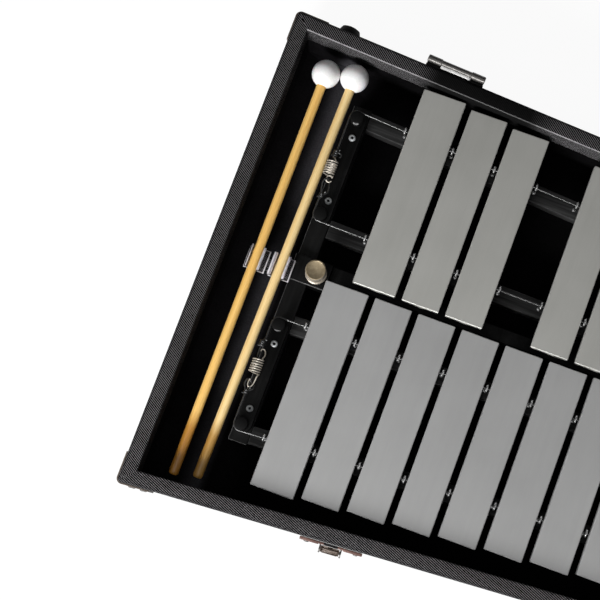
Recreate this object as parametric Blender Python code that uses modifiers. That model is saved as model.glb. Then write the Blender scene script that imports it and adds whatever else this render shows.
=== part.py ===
"""Concert glockenspiel in its open carrying case, with two mallets clipped in beside the bars.

Two rows of steel bars hang on cords that run through screw eyes on four slanting rails. The rails
lie on a base board at each end, and a thumb knob at each end holds the frame down in a tapered tray.
Units are metres, Z is up, X runs from the lowest bar to the highest and Y from player to accidentals.
"""

import math

import bmesh
import bpy
from mathutils import Matrix, Vector

# Bars
ROW_LENGTH = 0.7877
WIDE_BAR_WIDTH = 0.0407
BAR_GAP = 0.0065
BAR_THICKNESS = 0.009
BAR_EDGE = 0.0006
NATURAL_LENGTH = 0.1957
ACCIDENTAL_LENGTH = 0.1917
LENGTH_TAPER = 0.09
ROW_GAP = 0.0064
NATURAL_FRONT_SHARE = 0.227
NATURAL_BACK_SHARE = 0.231
ACCIDENTAL_FRONT_SHARE = 0.217
ACCIDENTAL_BACK_SHARE = 0.233
FIRST_SHARP_SHIFT = 0.0011
LOWEST_LETTER = "F"
LOWEST_OCTAVE = 5
NATURAL_COUNT = 19
SCALE_LETTERS = "CDEFGAB"
LETTERS_WITH_SHARP = "CDFGA"

# Heights above the table
FLOOR_THICKNESS = 0.006
CASE_HEIGHT = 0.072
BAR_TOP = 0.060
RAIL_TOP = 0.035
RAIL_HEIGHT = 0.015
BRACKET_TOP = 0.040
CLEARANCE = 0.0003
LAP = 0.001

# Rails, base boards and end blocks
RAIL_WIDTH = 0.017
RAIL_CORNER = 0.0085
RAIL_END_GAP = 0.0015
BOARD_WIDTH = 0.018
BOARD_REACH = 0.0361
BOARD_OVERHANG = 0.0095
BLOCK_WIDTH = 0.0145
BLOCK_HEIGHT = 0.0105
STRIP_CORNER = 0.007
PACKING_WIDTH = 0.012
PACKING_END_GAP = 0.0058
BOSS_RADIUS = 0.0065
BOSS_RISE = 0.0035
BOSS_GAP = 0.0004

# Cord, screw eyes and tension springs
CORD_RADIUS = 0.0011
CORD_REACH = 0.0331
HOLE_RADIUS = 0.0019
EYE_RADIUS = 0.0032
EYE_WIRE = 0.0009
EYE_ROOT = 0.003
EYE_END_GAP = math.radians(36)
SPRING_RADIUS = 0.0050
SPRING_WIRE = 0.00065
SPRING_PITCH = 0.00175
SPRING_CURLS = 6
CURL_POINTS = 8
HOOK_REACH = 0.0095
LOWER_HOOK_REACH = 0.0135
HOOK_HALF_WIDTH = 0.0023
HOOK_HALF_LENGTH = 0.0026
LOWER_HOOK_HALF_LENGTH = 0.0045
NATURAL_SPRING_Y = -0.0950
ACCIDENTAL_SPRING_Y = 0.0992

# Brackets, thumb knobs and mallet clips
BRACKET_WIDTH = 0.025
BRACKET_CENTRE = 0.005
BRACKET_REACH = 0.0363
CLIP_ARM_MARGIN = 0.0049
CLIP_ARM_WIDTH = 0.014
KNOB_INSET = 0.0124
KNOB_RADIUS = 0.0095
KNOB_COLLAR_RADIUS = 0.0088
KNOB_HEIGHT = 0.021
KNOB_CAP_FOOT = 0.0095
KNOB_NECK_RADIUS = 0.0077
KNOB_COLLAR_HEIGHT = 0.0075
KNOB_EDGE = 0.0006
STUD_RADIUS = 0.003
STUD_HOLE = 0.0034
NUT_BLOCK_LENGTH = 0.020
NUT_BLOCK_WIDTH = 0.0104
STUD_ROOM = 0.0015
STRETCHER_WIDTH = 0.012
STRETCHER_HEIGHT = 0.014
STRETCHER_TOP = 0.030
STRETCHER_CENTRE = 0.0118
CLIP_LENGTH = 0.0215
CLIP_WALL = 0.0012
CLIP_LIP = 0.0063
CLIP_LIP_RISE = 0.0020
CLIP_CHEEK = 0.0025
CLIP_BASE = 0.0018
CLIP_FOOT_WIDTH = 0.0203
CLIP_LINK_WIDTH = 0.008
CLIP_LINK_THICKNESS = 0.0009

# Mallets
STICK_RADIUS = 0.0045
STICK_TIP_RADIUS = 0.0032
STICK_TIP_LENGTH = 0.0012
STICK_ROOM = 0.00165
HEAD_RADIUS = 0.0133
HEAD_GAP = 0.0003
HEAD_BORE_DEPTH = 0.016
MALLET_LENGTH = 0.409
FIRST_HEAD_REACH = 0.1967
HEAD_STAGGER = 0.005
SECOND_MALLET_TURN = math.radians(-0.72)
CLIP_CENTRE = -0.0012

# Case tray
WALL = 0.014
HEAD_SIDE_ROOM = 0.01465
RIGHT_ROOM = 0.0555
STICK_END_ROOM = 0.0085
HEAD_END_ROOM = 0.0094
BAR_END_ROOM = 0.005
FRONT_TAPER = 0.075
BACK_TAPER = -0.061
CASE_CORNER = 0.0035
RIM_ROUNDING = 0.0012
ROOT_DEPTH = 0.002
FOOT_RADIUS = 0.010
FOOT_TOP_RADIUS = 0.0055
FOOT_RISE = 0.0075
FOOT_CROWN = 0.0005
FOOT_SIDE_HEIGHT = 0.0041
FOOT_SIDE_DRAFT = 0.001
FOOT_DROP = 0.0145
FOOT_INSET = 0.050

# Hinges, latches and handle
HINGE_INSET = 0.155
HINGE_LENGTH = 0.056
HINGE_KNUCKLE = 0.0138
KNUCKLE_RADIUS = 0.004
HINGE_PIN_RADIUS = 0.0025
LEAF_THICKNESS = 0.0015
LEAF_HEIGHT = 0.022
LEAF_DROP = 0.0005
WEB_THICKNESS = 0.0026
WEB_RISE = 0.0008
KNUCKLE_GAP = 0.0007
LATCH_INSET = 0.1974
LATCH_LENGTH = 0.057
LATCH_HEIGHT = 0.030
LATCH_PLATE = 0.0016
LATCH_DROP = 0.004
LEVER_WIDTH = 0.018
LEVER_HEIGHT = 0.024
LEVER_THICKNESS = 0.006
LEVER_STAND_OFF = 0.0010
LEVER_TIP_LENGTH = 0.004
LEVER_TIP_INSET = 0.0015
EAR_THICKNESS = 0.0016
EAR_RADIUS = 0.0042
LATCH_PIN_RADIUS = 0.0014
LATCH_PIN_INSET = 0.0003
PIVOT_CLEARANCE = 0.0004
LATCH_PIVOT_RISE = 0.006
HANDLE_SPAN = 0.124
HANDLE_DROP = 0.031
HANDLE_RADIUS = 0.0070
HANDLE_BEND = 0.017
HANDLE_PIVOT_HEIGHT = 0.042
HANDLE_STAND_OFF = 0.0115
HANDLE_PIN_RADIUS = 0.0030
HANDLE_PIN_LENGTH = 0.008
HANDLE_ARM_RISE = 0.004
HANDLE_SIDE_GAP = 0.0006
LUG_SIZE = 0.014
LUG_EDGE = 0.0025

BAR_WIDTH = (ROW_LENGTH - WIDE_BAR_WIDTH) / (NATURAL_COUNT - 1) - BAR_GAP
CORD_HEIGHT = BAR_TOP - BAR_THICKNESS / 2
CORD_BEND = BOSS_RADIUS + CORD_RADIUS + BOSS_GAP
HOLE_SIDES = 8
HOLE_FLAT = HOLE_RADIUS * math.cos(math.pi / HOLE_SIDES)
HOLE_DROP = HOLE_FLAT - CORD_RADIUS - CLEARANCE
BOARD_TOP = RAIL_TOP - RAIL_HEIGHT - CLEARANCE
BRACKET_FOOT = BOARD_TOP - LAP
SECOND_HEAD_REACH = FIRST_HEAD_REACH + HEAD_STAGGER
STICK_HEIGHT = BRACKET_TOP + CLEARANCE + CLIP_BASE + CLIP_WALL / 2 + STICK_RADIUS + CLEARANCE
HINGE_STAND_OFF = KNUCKLE_RADIUS + KNUCKLE_GAP
Z_AXIS = Vector((0, 0, 1))


# Scene, collections and materials

def clear_scene():
    for item in list(bpy.data.objects):
        bpy.data.objects.remove(item, do_unlink=True)


def new_collection(name):
    made = bpy.data.collections.new(name)
    bpy.context.scene.collection.children.link(made)
    return made


def principled(name, colour, roughness, metallic=0.0, transmission=0.0):
    material = bpy.data.materials.new(name)
    material.use_nodes = True
    shader = material.node_tree.nodes["Principled BSDF"]
    shader.inputs["Base Color"].default_value = (*colour, 1)
    shader.inputs["Roughness"].default_value = roughness
    shader.inputs["Metallic"].default_value = metallic
    shader.inputs["Transmission Weight"].default_value = transmission
    material.diffuse_color = (*colour, 1)
    return material


clear_scene()
PARTS = new_collection("glockenspiel")
CUTTERS = new_collection("cutters")
ROOT = bpy.data.objects.new("glockenspiel_origin", None)
PARTS.objects.link(ROOT)

BAR_STEEL = principled("brushed_bar_steel", (0.32, 0.32, 0.32), 0.38, 1.0)
CASE_COVER = principled("woven_case_cover", (0.045, 0.045, 0.048), 0.75)
FRAME_BLACK = principled("black_painted_wood", (0.015, 0.015, 0.015), 0.5)
CORD_BLACK = principled("black_cord", (0.03, 0.03, 0.03), 0.7)
SPRING_STEEL = principled("spring_steel", (0.55, 0.53, 0.50), 0.3, 1.0)
KNOB_NICKEL = principled("nickel_plated_brass", (0.62, 0.55, 0.46), 0.28, 1.0)
FITTING_CHROME = principled("chromed_fittings", (0.45, 0.44, 0.43), 0.25, 1.0)
STICK_WOOD = principled("varnished_birch", (0.75, 0.52, 0.25), 0.4)
HEAD_WHITE = principled("white_mallet_ball", (0.86, 0.86, 0.85), 0.3)
CLIP_CLEAR = principled("clear_clip_plastic", (0.85, 0.85, 0.86), 0.15, 0.0, 0.8)
HANDLE_BLACK = principled("black_moulded_handle", (0.02, 0.02, 0.02), 0.45)


# Building blocks

def keep(item, material, parent=ROOT, collection=PARTS):
    """Links an object, gives it its material and hangs it on its parent."""
    if item.name not in collection.objects:
        collection.objects.link(item)
    item.data.materials.clear()
    item.data.materials.append(material)
    item.parent = parent
    return item


def as_cutter(item):
    item.hide_render = True
    item.display_type = "WIRE"
    item.parent = ROOT
    if item.name not in CUTTERS.objects:
        CUTTERS.objects.link(item)
    return item


def mesh_object(name, work):
    bmesh.ops.recalc_face_normals(work, faces=work.faces)
    mesh = bpy.data.meshes.new(name)
    work.to_mesh(mesh)
    work.free()
    return bpy.data.objects.new(name, mesh)


def box(name, size, centre):
    """A box of the given X, Y and Z sizes about its centre."""
    work = bmesh.new()
    bmesh.ops.create_cube(work, size=1.0)
    bmesh.ops.scale(work, vec=size, verts=work.verts)
    item = mesh_object(name, work)
    item.location = centre
    return item


def rod(name, radius, length, centre, axis, sides=12):
    """A cylinder about its centre, with a flat side turned up when it lies level."""
    work = bmesh.new()
    bmesh.ops.create_cone(work, cap_ends=True, segments=sides, radius1=radius, radius2=radius, depth=length)
    bmesh.ops.rotate(work, cent=(0, 0, 0), matrix=Matrix.Rotation(math.pi / sides, 3, "Z"), verts=work.verts)
    item = mesh_object(name, work)
    item.rotation_mode = "QUATERNION"
    item.rotation_quaternion = Vector(axis).to_track_quat("Z", "Y")
    item.location = centre
    return item


def mesh_of_curve(name, curve):
    """Turns curve data into a closed mesh object, with the caps welded on."""
    source = bpy.data.objects.new(name + "_curve", curve)
    CUTTERS.objects.link(source)
    graph = bpy.context.evaluated_depsgraph_get()
    mesh = bpy.data.meshes.new_from_object(source.evaluated_get(graph))
    bpy.data.objects.remove(source, do_unlink=True)
    bpy.data.curves.remove(curve)
    work = bmesh.new()
    work.from_mesh(mesh)
    bpy.data.meshes.remove(mesh)
    bmesh.ops.remove_doubles(work, verts=work.verts, dist=0.000002)
    return mesh_object(name, work)


def poly_curve(name, points, flat, closed):
    curve = bpy.data.curves.new(name, "CURVE")
    curve.dimensions = "2D" if flat else "3D"
    spline = curve.splines.new("POLY")
    spline.points.add(len(points) - 1)
    for place, point in zip(spline.points, points):
        place.co = (*point, 0, 1) if flat else (*point, 1)
    spline.use_cyclic_u = closed
    return curve


def slab(name, outline, bottom, top):
    """An upright prism over a flat outline."""
    curve = poly_curve(name, outline, flat=True, closed=True)
    curve.fill_mode = "BOTH"
    curve.extrude = (top - bottom) / 2
    item = mesh_of_curve(name, curve)
    item.location.z = (top + bottom) / 2
    return item


def tube(name, points, radius, roundness=2):
    """A wire of even thickness along a list of points."""
    curve = poly_curve(name, points, flat=False, closed=False)
    curve.bevel_depth = radius
    curve.bevel_resolution = roundness
    curve.use_fill_caps = True
    return mesh_of_curve(name, curve)


def turned(name, profile, steps):
    """A turned solid: the profile of radius and height runs from the top of the axis to its foot."""
    work = bmesh.new()
    corners = [work.verts.new((radius, 0, height)) for radius, height in profile]
    for first, second in zip(corners, corners[1:]):
        work.edges.new((first, second))
    mesh = bpy.data.meshes.new(name)
    work.to_mesh(mesh)
    work.free()
    item = bpy.data.objects.new(name, mesh)
    screw = item.modifiers.new("turn", "SCREW")
    screw.axis = "Z"
    screw.steps = steps
    screw.render_steps = steps
    screw.use_merge_vertices = True
    screw.merge_threshold = 0.00001
    return item


def arc(centre, radius, start, end, steps):
    """Points on an arc in the XY plane, from one angle to another."""
    turn = [start + (end - start) * i / steps for i in range(steps + 1)]
    return [(centre[0] + radius * math.cos(a), centre[1] + radius * math.sin(a)) for a in turn]


def rounded(corners, radii, steps=3):
    """An outline whose corners are rounded off, each by its own radius."""
    outline = []
    count = len(corners)
    for i, (corner, radius) in enumerate(zip(corners, radii)):
        here = Vector(corner)
        before = (Vector(corners[i - 1]) - here).normalized()
        after = (Vector(corners[(i + 1) % count]) - here).normalized()
        if not radius:
            outline.append(corner)
            continue
        half = before.angle(after) / 2
        middle = here + (before + after).normalized() * radius / math.sin(half)
        first = here + before * radius / math.tan(half) - middle
        turn = first.angle_signed(here + after * radius / math.tan(half) - middle)
        start = math.atan2(first.y, first.x)
        outline += arc(middle, radius, start, start - turn, steps)
    return outline


def thick_path(points, thickness):
    """The outline of a bent strip whose middle follows the points."""
    sides = ([], [])
    for i, point in enumerate(points):
        here = Vector(point)
        ends = points[max(i - 1, 0)], points[min(i + 1, len(points) - 1)]
        along = (Vector(ends[1]) - Vector(ends[0])).normalized()
        across = Vector((-along.y, along.x)) * thickness / 2
        sides[0].append(tuple(here + across))
        sides[1].append(tuple(here - across))
    return sides[0] + sides[1][::-1]


def add_boolean(item, other, operation):
    modifier = item.modifiers.new(operation.lower(), "BOOLEAN")
    modifier.operation = operation
    modifier.solver = "EXACT"
    modifier.object = as_cutter(other)
    return item


def cut(item, *others):
    for other in others:
        add_boolean(item, other, "DIFFERENCE")
    return item


def join(item, *others):
    for other in others:
        add_boolean(item, other, "UNION")
    return item


def bevel(item, width, segments=1, angle=40):
    modifier = item.modifiers.new("edges", "BEVEL")
    modifier.width = width
    modifier.segments = segments
    modifier.limit_method = "ANGLE"
    modifier.angle_limit = math.radians(angle)
    return item


def smooth(item, angle=35):
    item.data.shade_smooth()
    item.data.set_sharp_from_angle(angle=math.radians(angle))
    return item


def frame_on_wall(name, point, slope):
    """An empty on a slanting case wall, whose X runs along the wall and whose Y points to the back."""
    empty = bpy.data.objects.new(name, None)
    PARTS.objects.link(empty)
    empty.parent = ROOT
    empty.location = (*point, 0)
    empty.rotation_euler.z = math.atan(slope)
    return empty


def keep_on(item, frame, material=None):
    """Hangs an object, and whatever it is joined to or cut by, on a frame."""
    if material:
        keep(item, material, frame)
    else:
        item.parent = frame
    for modifier in item.modifiers:
        if modifier.type == "BOOLEAN":
            modifier.object.parent = frame
    return item


# Layout of the bars

class Bar:
    """One bar: its note, its place along the row and its length."""

    def __init__(self, note, left, width):
        self.note = note
        self.left = left
        self.width = width
        self.right = left + width
        self.centre = left + width / 2


def natural_layout():
    bars = []
    left = 0.0
    for i in range(NATURAL_COUNT):
        octaves, letter = divmod(SCALE_LETTERS.index(LOWEST_LETTER) + i, len(SCALE_LETTERS))
        width = WIDE_BAR_WIDTH if i == 0 else BAR_WIDTH
        bars.append(Bar(f"{SCALE_LETTERS[letter]}{LOWEST_OCTAVE + octaves}", left, width))
        left += width + BAR_GAP
    return bars


def accidental_layout(naturals):
    """Each sharp sits over a gap of the naturals, packed beside its neighbour within its group."""
    groups = [[]]
    for lower, upper in zip(naturals, naturals[1:]):
        if lower.note[0] not in LETTERS_WITH_SHARP:
            groups.append([])
            continue
        width = WIDE_BAR_WIDTH if lower is naturals[0] else BAR_WIDTH
        if groups[-1]:
            left = groups[-1][-1].right + BAR_GAP
        else:
            shift = FIRST_SHARP_SHIFT if lower is naturals[0] else 0.0
            left = (lower.right + upper.left - width) / 2 - shift
        groups[-1].append(Bar(f"{lower.note[0]}s{lower.note[1]}", left, width))
    return [group for group in groups if group]


NATURALS = natural_layout()
SHARP_GROUPS = accidental_layout(NATURALS)
SHARPS = [bar for group in SHARP_GROUPS for bar in group]
ROW_LEFT = NATURALS[0].left
ROW_RIGHT = NATURALS[-1].right


def natural_length(x):
    return NATURAL_LENGTH - LENGTH_TAPER * (x - NATURALS[0].centre)


def accidental_length(x):
    return ACCIDENTAL_LENGTH - LENGTH_TAPER * (x - SHARPS[0].centre)


def natural_front_line(x):
    return -(1 - NATURAL_FRONT_SHARE) * natural_length(x)


def natural_back_line(x):
    return -NATURAL_BACK_SHARE * natural_length(x)


def accidental_front_line(x):
    return ROW_GAP + ACCIDENTAL_FRONT_SHARE * accidental_length(x)


def accidental_back_line(x):
    return ROW_GAP + (1 - ACCIDENTAL_BACK_SHARE) * accidental_length(x)


def slope_of(line):
    return line(1.0) - line(0.0)


def front_wall(x):
    return FRONT_LEFT + FRONT_TAPER * (x - CASE_LEFT)


def back_wall(x):
    return BACK_LEFT + BACK_TAPER * (x - CASE_LEFT)


NATURAL_LINES = (natural_front_line, natural_back_line)
ACCIDENTAL_LINES = (accidental_front_line, accidental_back_line)
LEFT_CORD_X = ROW_LEFT - CORD_REACH
RIGHT_CORD_X = ROW_RIGHT + CORD_REACH
LEFT_BOSS_X = LEFT_CORD_X + CORD_BEND
RIGHT_BOSS_X = RIGHT_CORD_X - CORD_BEND


def clip_spacing():
    """The mallets lie side by side with their heads staggered and a small gap between the balls."""
    abreast = math.sqrt((2 * HEAD_RADIUS + HEAD_GAP) ** 2 - HEAD_STAGGER ** 2)
    return abreast + math.sin(SECOND_MALLET_TURN) * (SECOND_HEAD_REACH - HEAD_RADIUS - CLIP_CENTRE)


SECOND_CLIP_X = LEFT_CORD_X - SPRING_RADIUS - SPRING_WIRE - STICK_ROOM - STICK_RADIUS
FIRST_CLIP_X = SECOND_CLIP_X - clip_spacing()
CLIP_PLACES = (FIRST_CLIP_X, SECOND_CLIP_X)

CASE_LEFT = FIRST_CLIP_X - HEAD_RADIUS - HEAD_SIDE_ROOM - WALL
CASE_RIGHT = ROW_RIGHT + RIGHT_ROOM + WALL
CASE_MIDDLE = (CASE_LEFT + CASE_RIGHT) / 2
STICK_END = FIRST_HEAD_REACH - MALLET_LENGTH - STICK_END_ROOM
NATURAL_END = -NATURAL_LENGTH - BAR_END_ROOM + FRONT_TAPER * (CASE_LEFT - ROW_LEFT)
FRONT_LEFT = min(STICK_END, NATURAL_END) - WALL
HEAD_END = SECOND_HEAD_REACH + HEAD_END_ROOM
ACCIDENTAL_END = ROW_GAP + ACCIDENTAL_LENGTH + BAR_END_ROOM + BACK_TAPER * (CASE_LEFT - ROW_LEFT)
BACK_LEFT = max(HEAD_END, ACCIDENTAL_END) + WALL


# Bars with their cross-drilled holes

def hole_cutter(name, line):
    """A long round cutter along one nodal line, shared by every bar of its row."""
    slope = slope_of(line)
    middle = (ROW_LEFT + ROW_RIGHT) / 2
    length = (ROW_RIGHT - ROW_LEFT + 2 * WALL) * math.hypot(1, slope)
    centre = (middle, line(middle), CORD_HEIGHT - HOLE_DROP)
    return rod(name, HOLE_RADIUS, length, centre, (1, slope, 0), HOLE_SIDES)


def make_row(bars, length_at, inner_end, away, lines, tag):
    cutters = [hole_cutter(f"{tag}_hole_cutter_{i}", line) for i, line in enumerate(lines)]
    for bar in bars:
        length = length_at(bar.centre)
        centre = (bar.centre, inner_end + away * length / 2, BAR_TOP - BAR_THICKNESS / 2)
        item = box(f"bar_{bar.note}", (bar.width, length, BAR_THICKNESS), centre)
        bevel(item, BAR_EDGE)
        cut(item, *cutters)
        keep(item, BAR_STEEL)


# Rails with their screw eyes

def eye_points():
    """A screw eye in the YZ plane: a stem that runs up into an open ring, with the cord at its centre."""
    ring_sides = 6
    lift = EYE_RADIUS * math.cos(math.pi / ring_sides) - EYE_WIRE - CORD_RADIUS - CLEARANCE
    middle = CORD_HEIGHT + lift
    points = [(0, 0, RAIL_TOP - EYE_ROOT), (0, 0, middle - EYE_RADIUS)]
    sweep = 2 * math.pi - EYE_END_GAP
    for i in range(1, ring_sides + 1):
        angle = -math.pi / 2 + sweep * i / ring_sides
        points.append((0, EYE_RADIUS * math.cos(angle), middle + EYE_RADIUS * math.sin(angle)))
    return points


def eye_row(name, places):
    """All the screw eyes of one rail, as one mesh."""
    single = tube(name + "_single", eye_points(), EYE_WIRE, roundness=0)
    work = bmesh.new()
    for place in places:
        copy = single.data.copy()
        copy.transform(Matrix.Translation(place))
        work.from_mesh(copy)
        bpy.data.meshes.remove(copy)
    bpy.data.objects.remove(single, do_unlink=True)
    return mesh_object(name, work)


def make_rail(name, line, eye_places, outer_side):
    """A board along a nodal line. Its outer corners are rounded, and its eyes stand along its middle."""
    left = ROW_LEFT - BOARD_REACH + RAIL_END_GAP
    right = ROW_RIGHT + BOARD_REACH - RAIL_END_GAP
    half = RAIL_WIDTH / 2 * math.hypot(1, slope_of(line))
    ends = ((left, -1), (right, -1), (right, 1), (left, 1))
    corners = [(x, line(x) + side * half) for x, side in ends]
    radii = [RAIL_CORNER if side == outer_side else 0 for side in (-1, -1, 1, 1)]
    rail = slab(name, rounded(corners, radii), RAIL_TOP - RAIL_HEIGHT, RAIL_TOP)
    eyes = eye_row(name + "_eyes", [(x, line(x), 0) for x in eye_places])
    keep(join(rail, eyes), FRAME_BLACK)


def eye_places(groups):
    places = []
    for group in groups:
        places.append(group[0].left - BAR_GAP / 2)
        places += [bar.right + BAR_GAP / 2 for bar in group]
    return places


# End blocks, whose round bosses turn the cords through the corners

def boss_centre(x, line, side):
    """The middle of a boss whose cord touches the upright run and the nodal line."""
    return x, line(x) + side * CORD_BEND * math.hypot(1, slope_of(line))


def end_block_pieces(x, front_line, back_line):
    """A strip over the ends of two rails, and the bosses that turn the cord at its ends."""
    places = [boss_centre(x, front_line, 1), boss_centre(x, back_line, -1)]
    half = BLOCK_WIDTH / 2
    front, back = places[0][1] - half, places[1][1] + half
    corners = [(x - half, front), (x + half, front), (x + half, back), (x - half, back)]
    bottom = RAIL_TOP + CLEARANCE
    strip = slab("end_strip", rounded(corners, [STRIP_CORNER] * 4), bottom, bottom + BLOCK_HEIGHT)
    top = CORD_HEIGHT + BOSS_RISE
    foot = bottom + BLOCK_HEIGHT / 2
    bosses = []
    for place in places:
        bosses.append(rod("boss", BOSS_RADIUS, top - foot, (*place, (top + foot) / 2), Z_AXIS, 16))
    return strip, *bosses


def make_end_block(name, x, front_line, back_line):
    strip, *bosses = end_block_pieces(x, front_line, back_line)
    strip.name = name
    keep(join(strip, *bosses), FRAME_BLACK)


# Base boards with the brackets that the thumb knobs hold down

def knob_place(side):
    """The middle of a thumb knob: side -1 is the left one, +1 the right one."""
    edge = ROW_LEFT if side < 0 else ROW_RIGHT
    return edge + side * KNOB_INSET, BRACKET_CENTRE


def make_base_board(name, side):
    """A board across the rails' undersides, with the bracket that its thumb knob holds down."""
    edge = ROW_LEFT if side < 0 else ROW_RIGHT
    x = edge + side * (BOARD_REACH - BOARD_WIDTH / 2)
    front = natural_front_line(x) - BOARD_OVERHANG
    back = accidental_back_line(x) + BOARD_OVERHANG
    bottom = FLOOR_THICKNESS + CLEARANCE
    size = (BOARD_WIDTH, back - front, BOARD_TOP - bottom)
    board = box(name, size, (x, (front + back) / 2, (BOARD_TOP + bottom) / 2))
    outer = edge + side * BRACKET_REACH
    height = BRACKET_TOP - BRACKET_FOOT
    middle = ((outer + edge) / 2, BRACKET_CENTRE, BRACKET_FOOT + height / 2)
    join(board, box(name + "_bracket", (BRACKET_REACH, BRACKET_WIDTH, height), middle))
    if side < 0:
        end = FIRST_CLIP_X - STICK_RADIUS - CLIP_ARM_MARGIN
        size = (outer + LAP - end, CLIP_ARM_WIDTH, height)
        middle = ((outer + LAP + end) / 2, CLIP_CENTRE, BRACKET_FOOT + height / 2)
        join(board, box(name + "_clip_arm", size, middle))
    else:
        add_end_strip(board, x, *NATURAL_LINES)
        add_end_strip(board, x, *ACCIDENTAL_LINES)
    hole = rod(name + "_stud_hole", STUD_HOLE, CASE_HEIGHT, (*knob_place(side), BRACKET_TOP), Z_AXIS, 16)
    keep(cut(board, hole), FRAME_BLACK)


def add_end_strip(board, x, front_line, back_line):
    """A strip with its bosses, on a packing that fills the space between two rails."""
    rail = RAIL_WIDTH * math.hypot(1, slope_of(front_line))
    length = back_line(x) - front_line(x) - rail - 2 * PACKING_END_GAP
    size = (PACKING_WIDTH, length, RAIL_TOP - BOARD_TOP + 2 * LAP)
    middle = (RIGHT_BOSS_X, (front_line(x) + back_line(x)) / 2, (RAIL_TOP + BOARD_TOP) / 2)
    join(board, box("packing", size, middle))
    join(board, *end_block_pieces(RIGHT_BOSS_X, front_line, back_line))


def make_stretcher():
    """A batten that ties the two brackets together, seen between the two rows of bars."""
    length = ROW_RIGHT - ROW_LEFT - 2 * CLEARANCE
    size = (length, STRETCHER_WIDTH, STRETCHER_HEIGHT)
    middle = ((ROW_LEFT + ROW_RIGHT) / 2, STRETCHER_CENTRE, STRETCHER_TOP - STRETCHER_HEIGHT / 2)
    keep(box("centre_stretcher", size, middle), FRAME_BLACK)


def make_knob(name, side):
    """A turned thumb knob with a wide cap, a neck, a collar and a stud. It turns on its own axis."""
    foot = FLOOR_THICKNESS + STUD_ROOM - BRACKET_TOP - CLEARANCE
    profile = [
        (0, KNOB_HEIGHT),
        (KNOB_RADIUS - KNOB_EDGE, KNOB_HEIGHT),
        (KNOB_RADIUS, KNOB_HEIGHT - KNOB_EDGE),
        (KNOB_RADIUS, KNOB_CAP_FOOT),
        (KNOB_NECK_RADIUS, KNOB_CAP_FOOT - KNOB_EDGE),
        (KNOB_NECK_RADIUS, KNOB_COLLAR_HEIGHT + KNOB_EDGE),
        (KNOB_COLLAR_RADIUS, KNOB_COLLAR_HEIGHT),
        (KNOB_COLLAR_RADIUS, 0),
        (STUD_RADIUS, 0),
        (STUD_RADIUS, foot),
        (0, foot),
    ]
    knob = turned(name, profile, 20)
    knob.location = (*knob_place(side), BRACKET_TOP + CLEARANCE)
    keep(smooth(knob), KNOB_NICKEL)


# Cords

def quarter_turn(centre, start, end, steps=6):
    return [(x, y, CORD_HEIGHT) for x, y in arc(centre, CORD_BEND, start, end, steps)]


def cord_route(front_line, back_line, first_y, last_y):
    """From the lower hook of the spring, round the four bosses and back to the upper hook."""
    tilt_front = math.atan(slope_of(front_line))
    tilt_back = math.atan(slope_of(back_line))
    down, right, up, left = -math.pi / 2, 0.0, math.pi / 2, math.pi
    route = [(LEFT_CORD_X, first_y, CORD_HEIGHT)]
    route += quarter_turn(boss_centre(LEFT_BOSS_X, front_line, 1), left, left + math.pi / 2 + tilt_front)
    route += quarter_turn(boss_centre(RIGHT_BOSS_X, front_line, 1), down + tilt_front, right)
    route += quarter_turn(boss_centre(RIGHT_BOSS_X, back_line, -1), right, up + tilt_back)
    route += quarter_turn(boss_centre(LEFT_BOSS_X, back_line, -1), up + tilt_back, left)
    route.append((LEFT_CORD_X, last_y, CORD_HEIGHT))
    return route


def make_cord(name, front_line, back_line, spring_y):
    coil_half = (SPRING_CURLS * SPRING_PITCH) / 2
    gap = SPRING_WIRE + CLEARANCE
    first_y = spring_y - coil_half - LOWER_HOOK_REACH - gap
    last_y = spring_y + coil_half + HOOK_REACH + gap
    route = cord_route(front_line, back_line, first_y, last_y)
    keep(smooth(tube(name, route, CORD_RADIUS)), CORD_BLACK)


# Tension springs: a close coil with a hook at each end, as one wire

def spring_points():
    """Along Y about the origin. The wire starts at the lower hook and ends at the upper one."""
    half = SPRING_CURLS * SPRING_PITCH / 2
    count = SPRING_CURLS * CURL_POINTS
    coil = []
    for i in range(count + 1):
        angle = math.pi / 2 + 2 * math.pi * i / CURL_POINTS
        y = -half + SPRING_PITCH * i / CURL_POINTS
        coil.append((SPRING_RADIUS * math.cos(angle), y, SPRING_RADIUS * math.sin(angle)))
    lower = hook_points(-half, -1, LOWER_HOOK_REACH, LOWER_HOOK_HALF_LENGTH)
    upper = hook_points(half, 1, HOOK_REACH, HOOK_HALF_LENGTH)
    return lower[::-1] + coil + upper


def hook_points(start, away, reach, half_length):
    """A hook that dips from the top of the coil to the axis and bends round in a level, open loop."""
    dip = reach - 2 * half_length
    points = []
    for i in range(1, 4):
        turn = math.pi / 2 * i / 3
        points.append((0, start + away * dip * i / 3, SPRING_RADIUS * math.cos(turn)))
    middle = reach - half_length
    for i in range(1, 7):
        turn = math.pi / 4 * i
        y = start + away * (middle - half_length * math.cos(turn))
        points.append((HOOK_HALF_WIDTH * math.sin(turn), y, 0))
    return points


def least_gap(points, wire):
    """The narrowest space between two stretches of the wire that aren't neighbours along it."""
    apart = CURL_POINTS // 2
    nearest = 1.0
    for i, here in enumerate(points):
        for there in points[i + apart:]:
            nearest = min(nearest, (Vector(here) - Vector(there)).length)
    return nearest - 2 * wire


def make_spring(name, spring_y):
    points = spring_points()
    print(f"{name}: least gap to itself {least_gap(points, SPRING_WIRE) * 1000:.2f} mm")
    spring = tube(name, points, SPRING_WIRE, roundness=1)
    spring.location = (LEFT_CORD_X, spring_y, CORD_HEIGHT)
    keep(smooth(spring), SPRING_STEEL)


# Mallets and their clips

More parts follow.
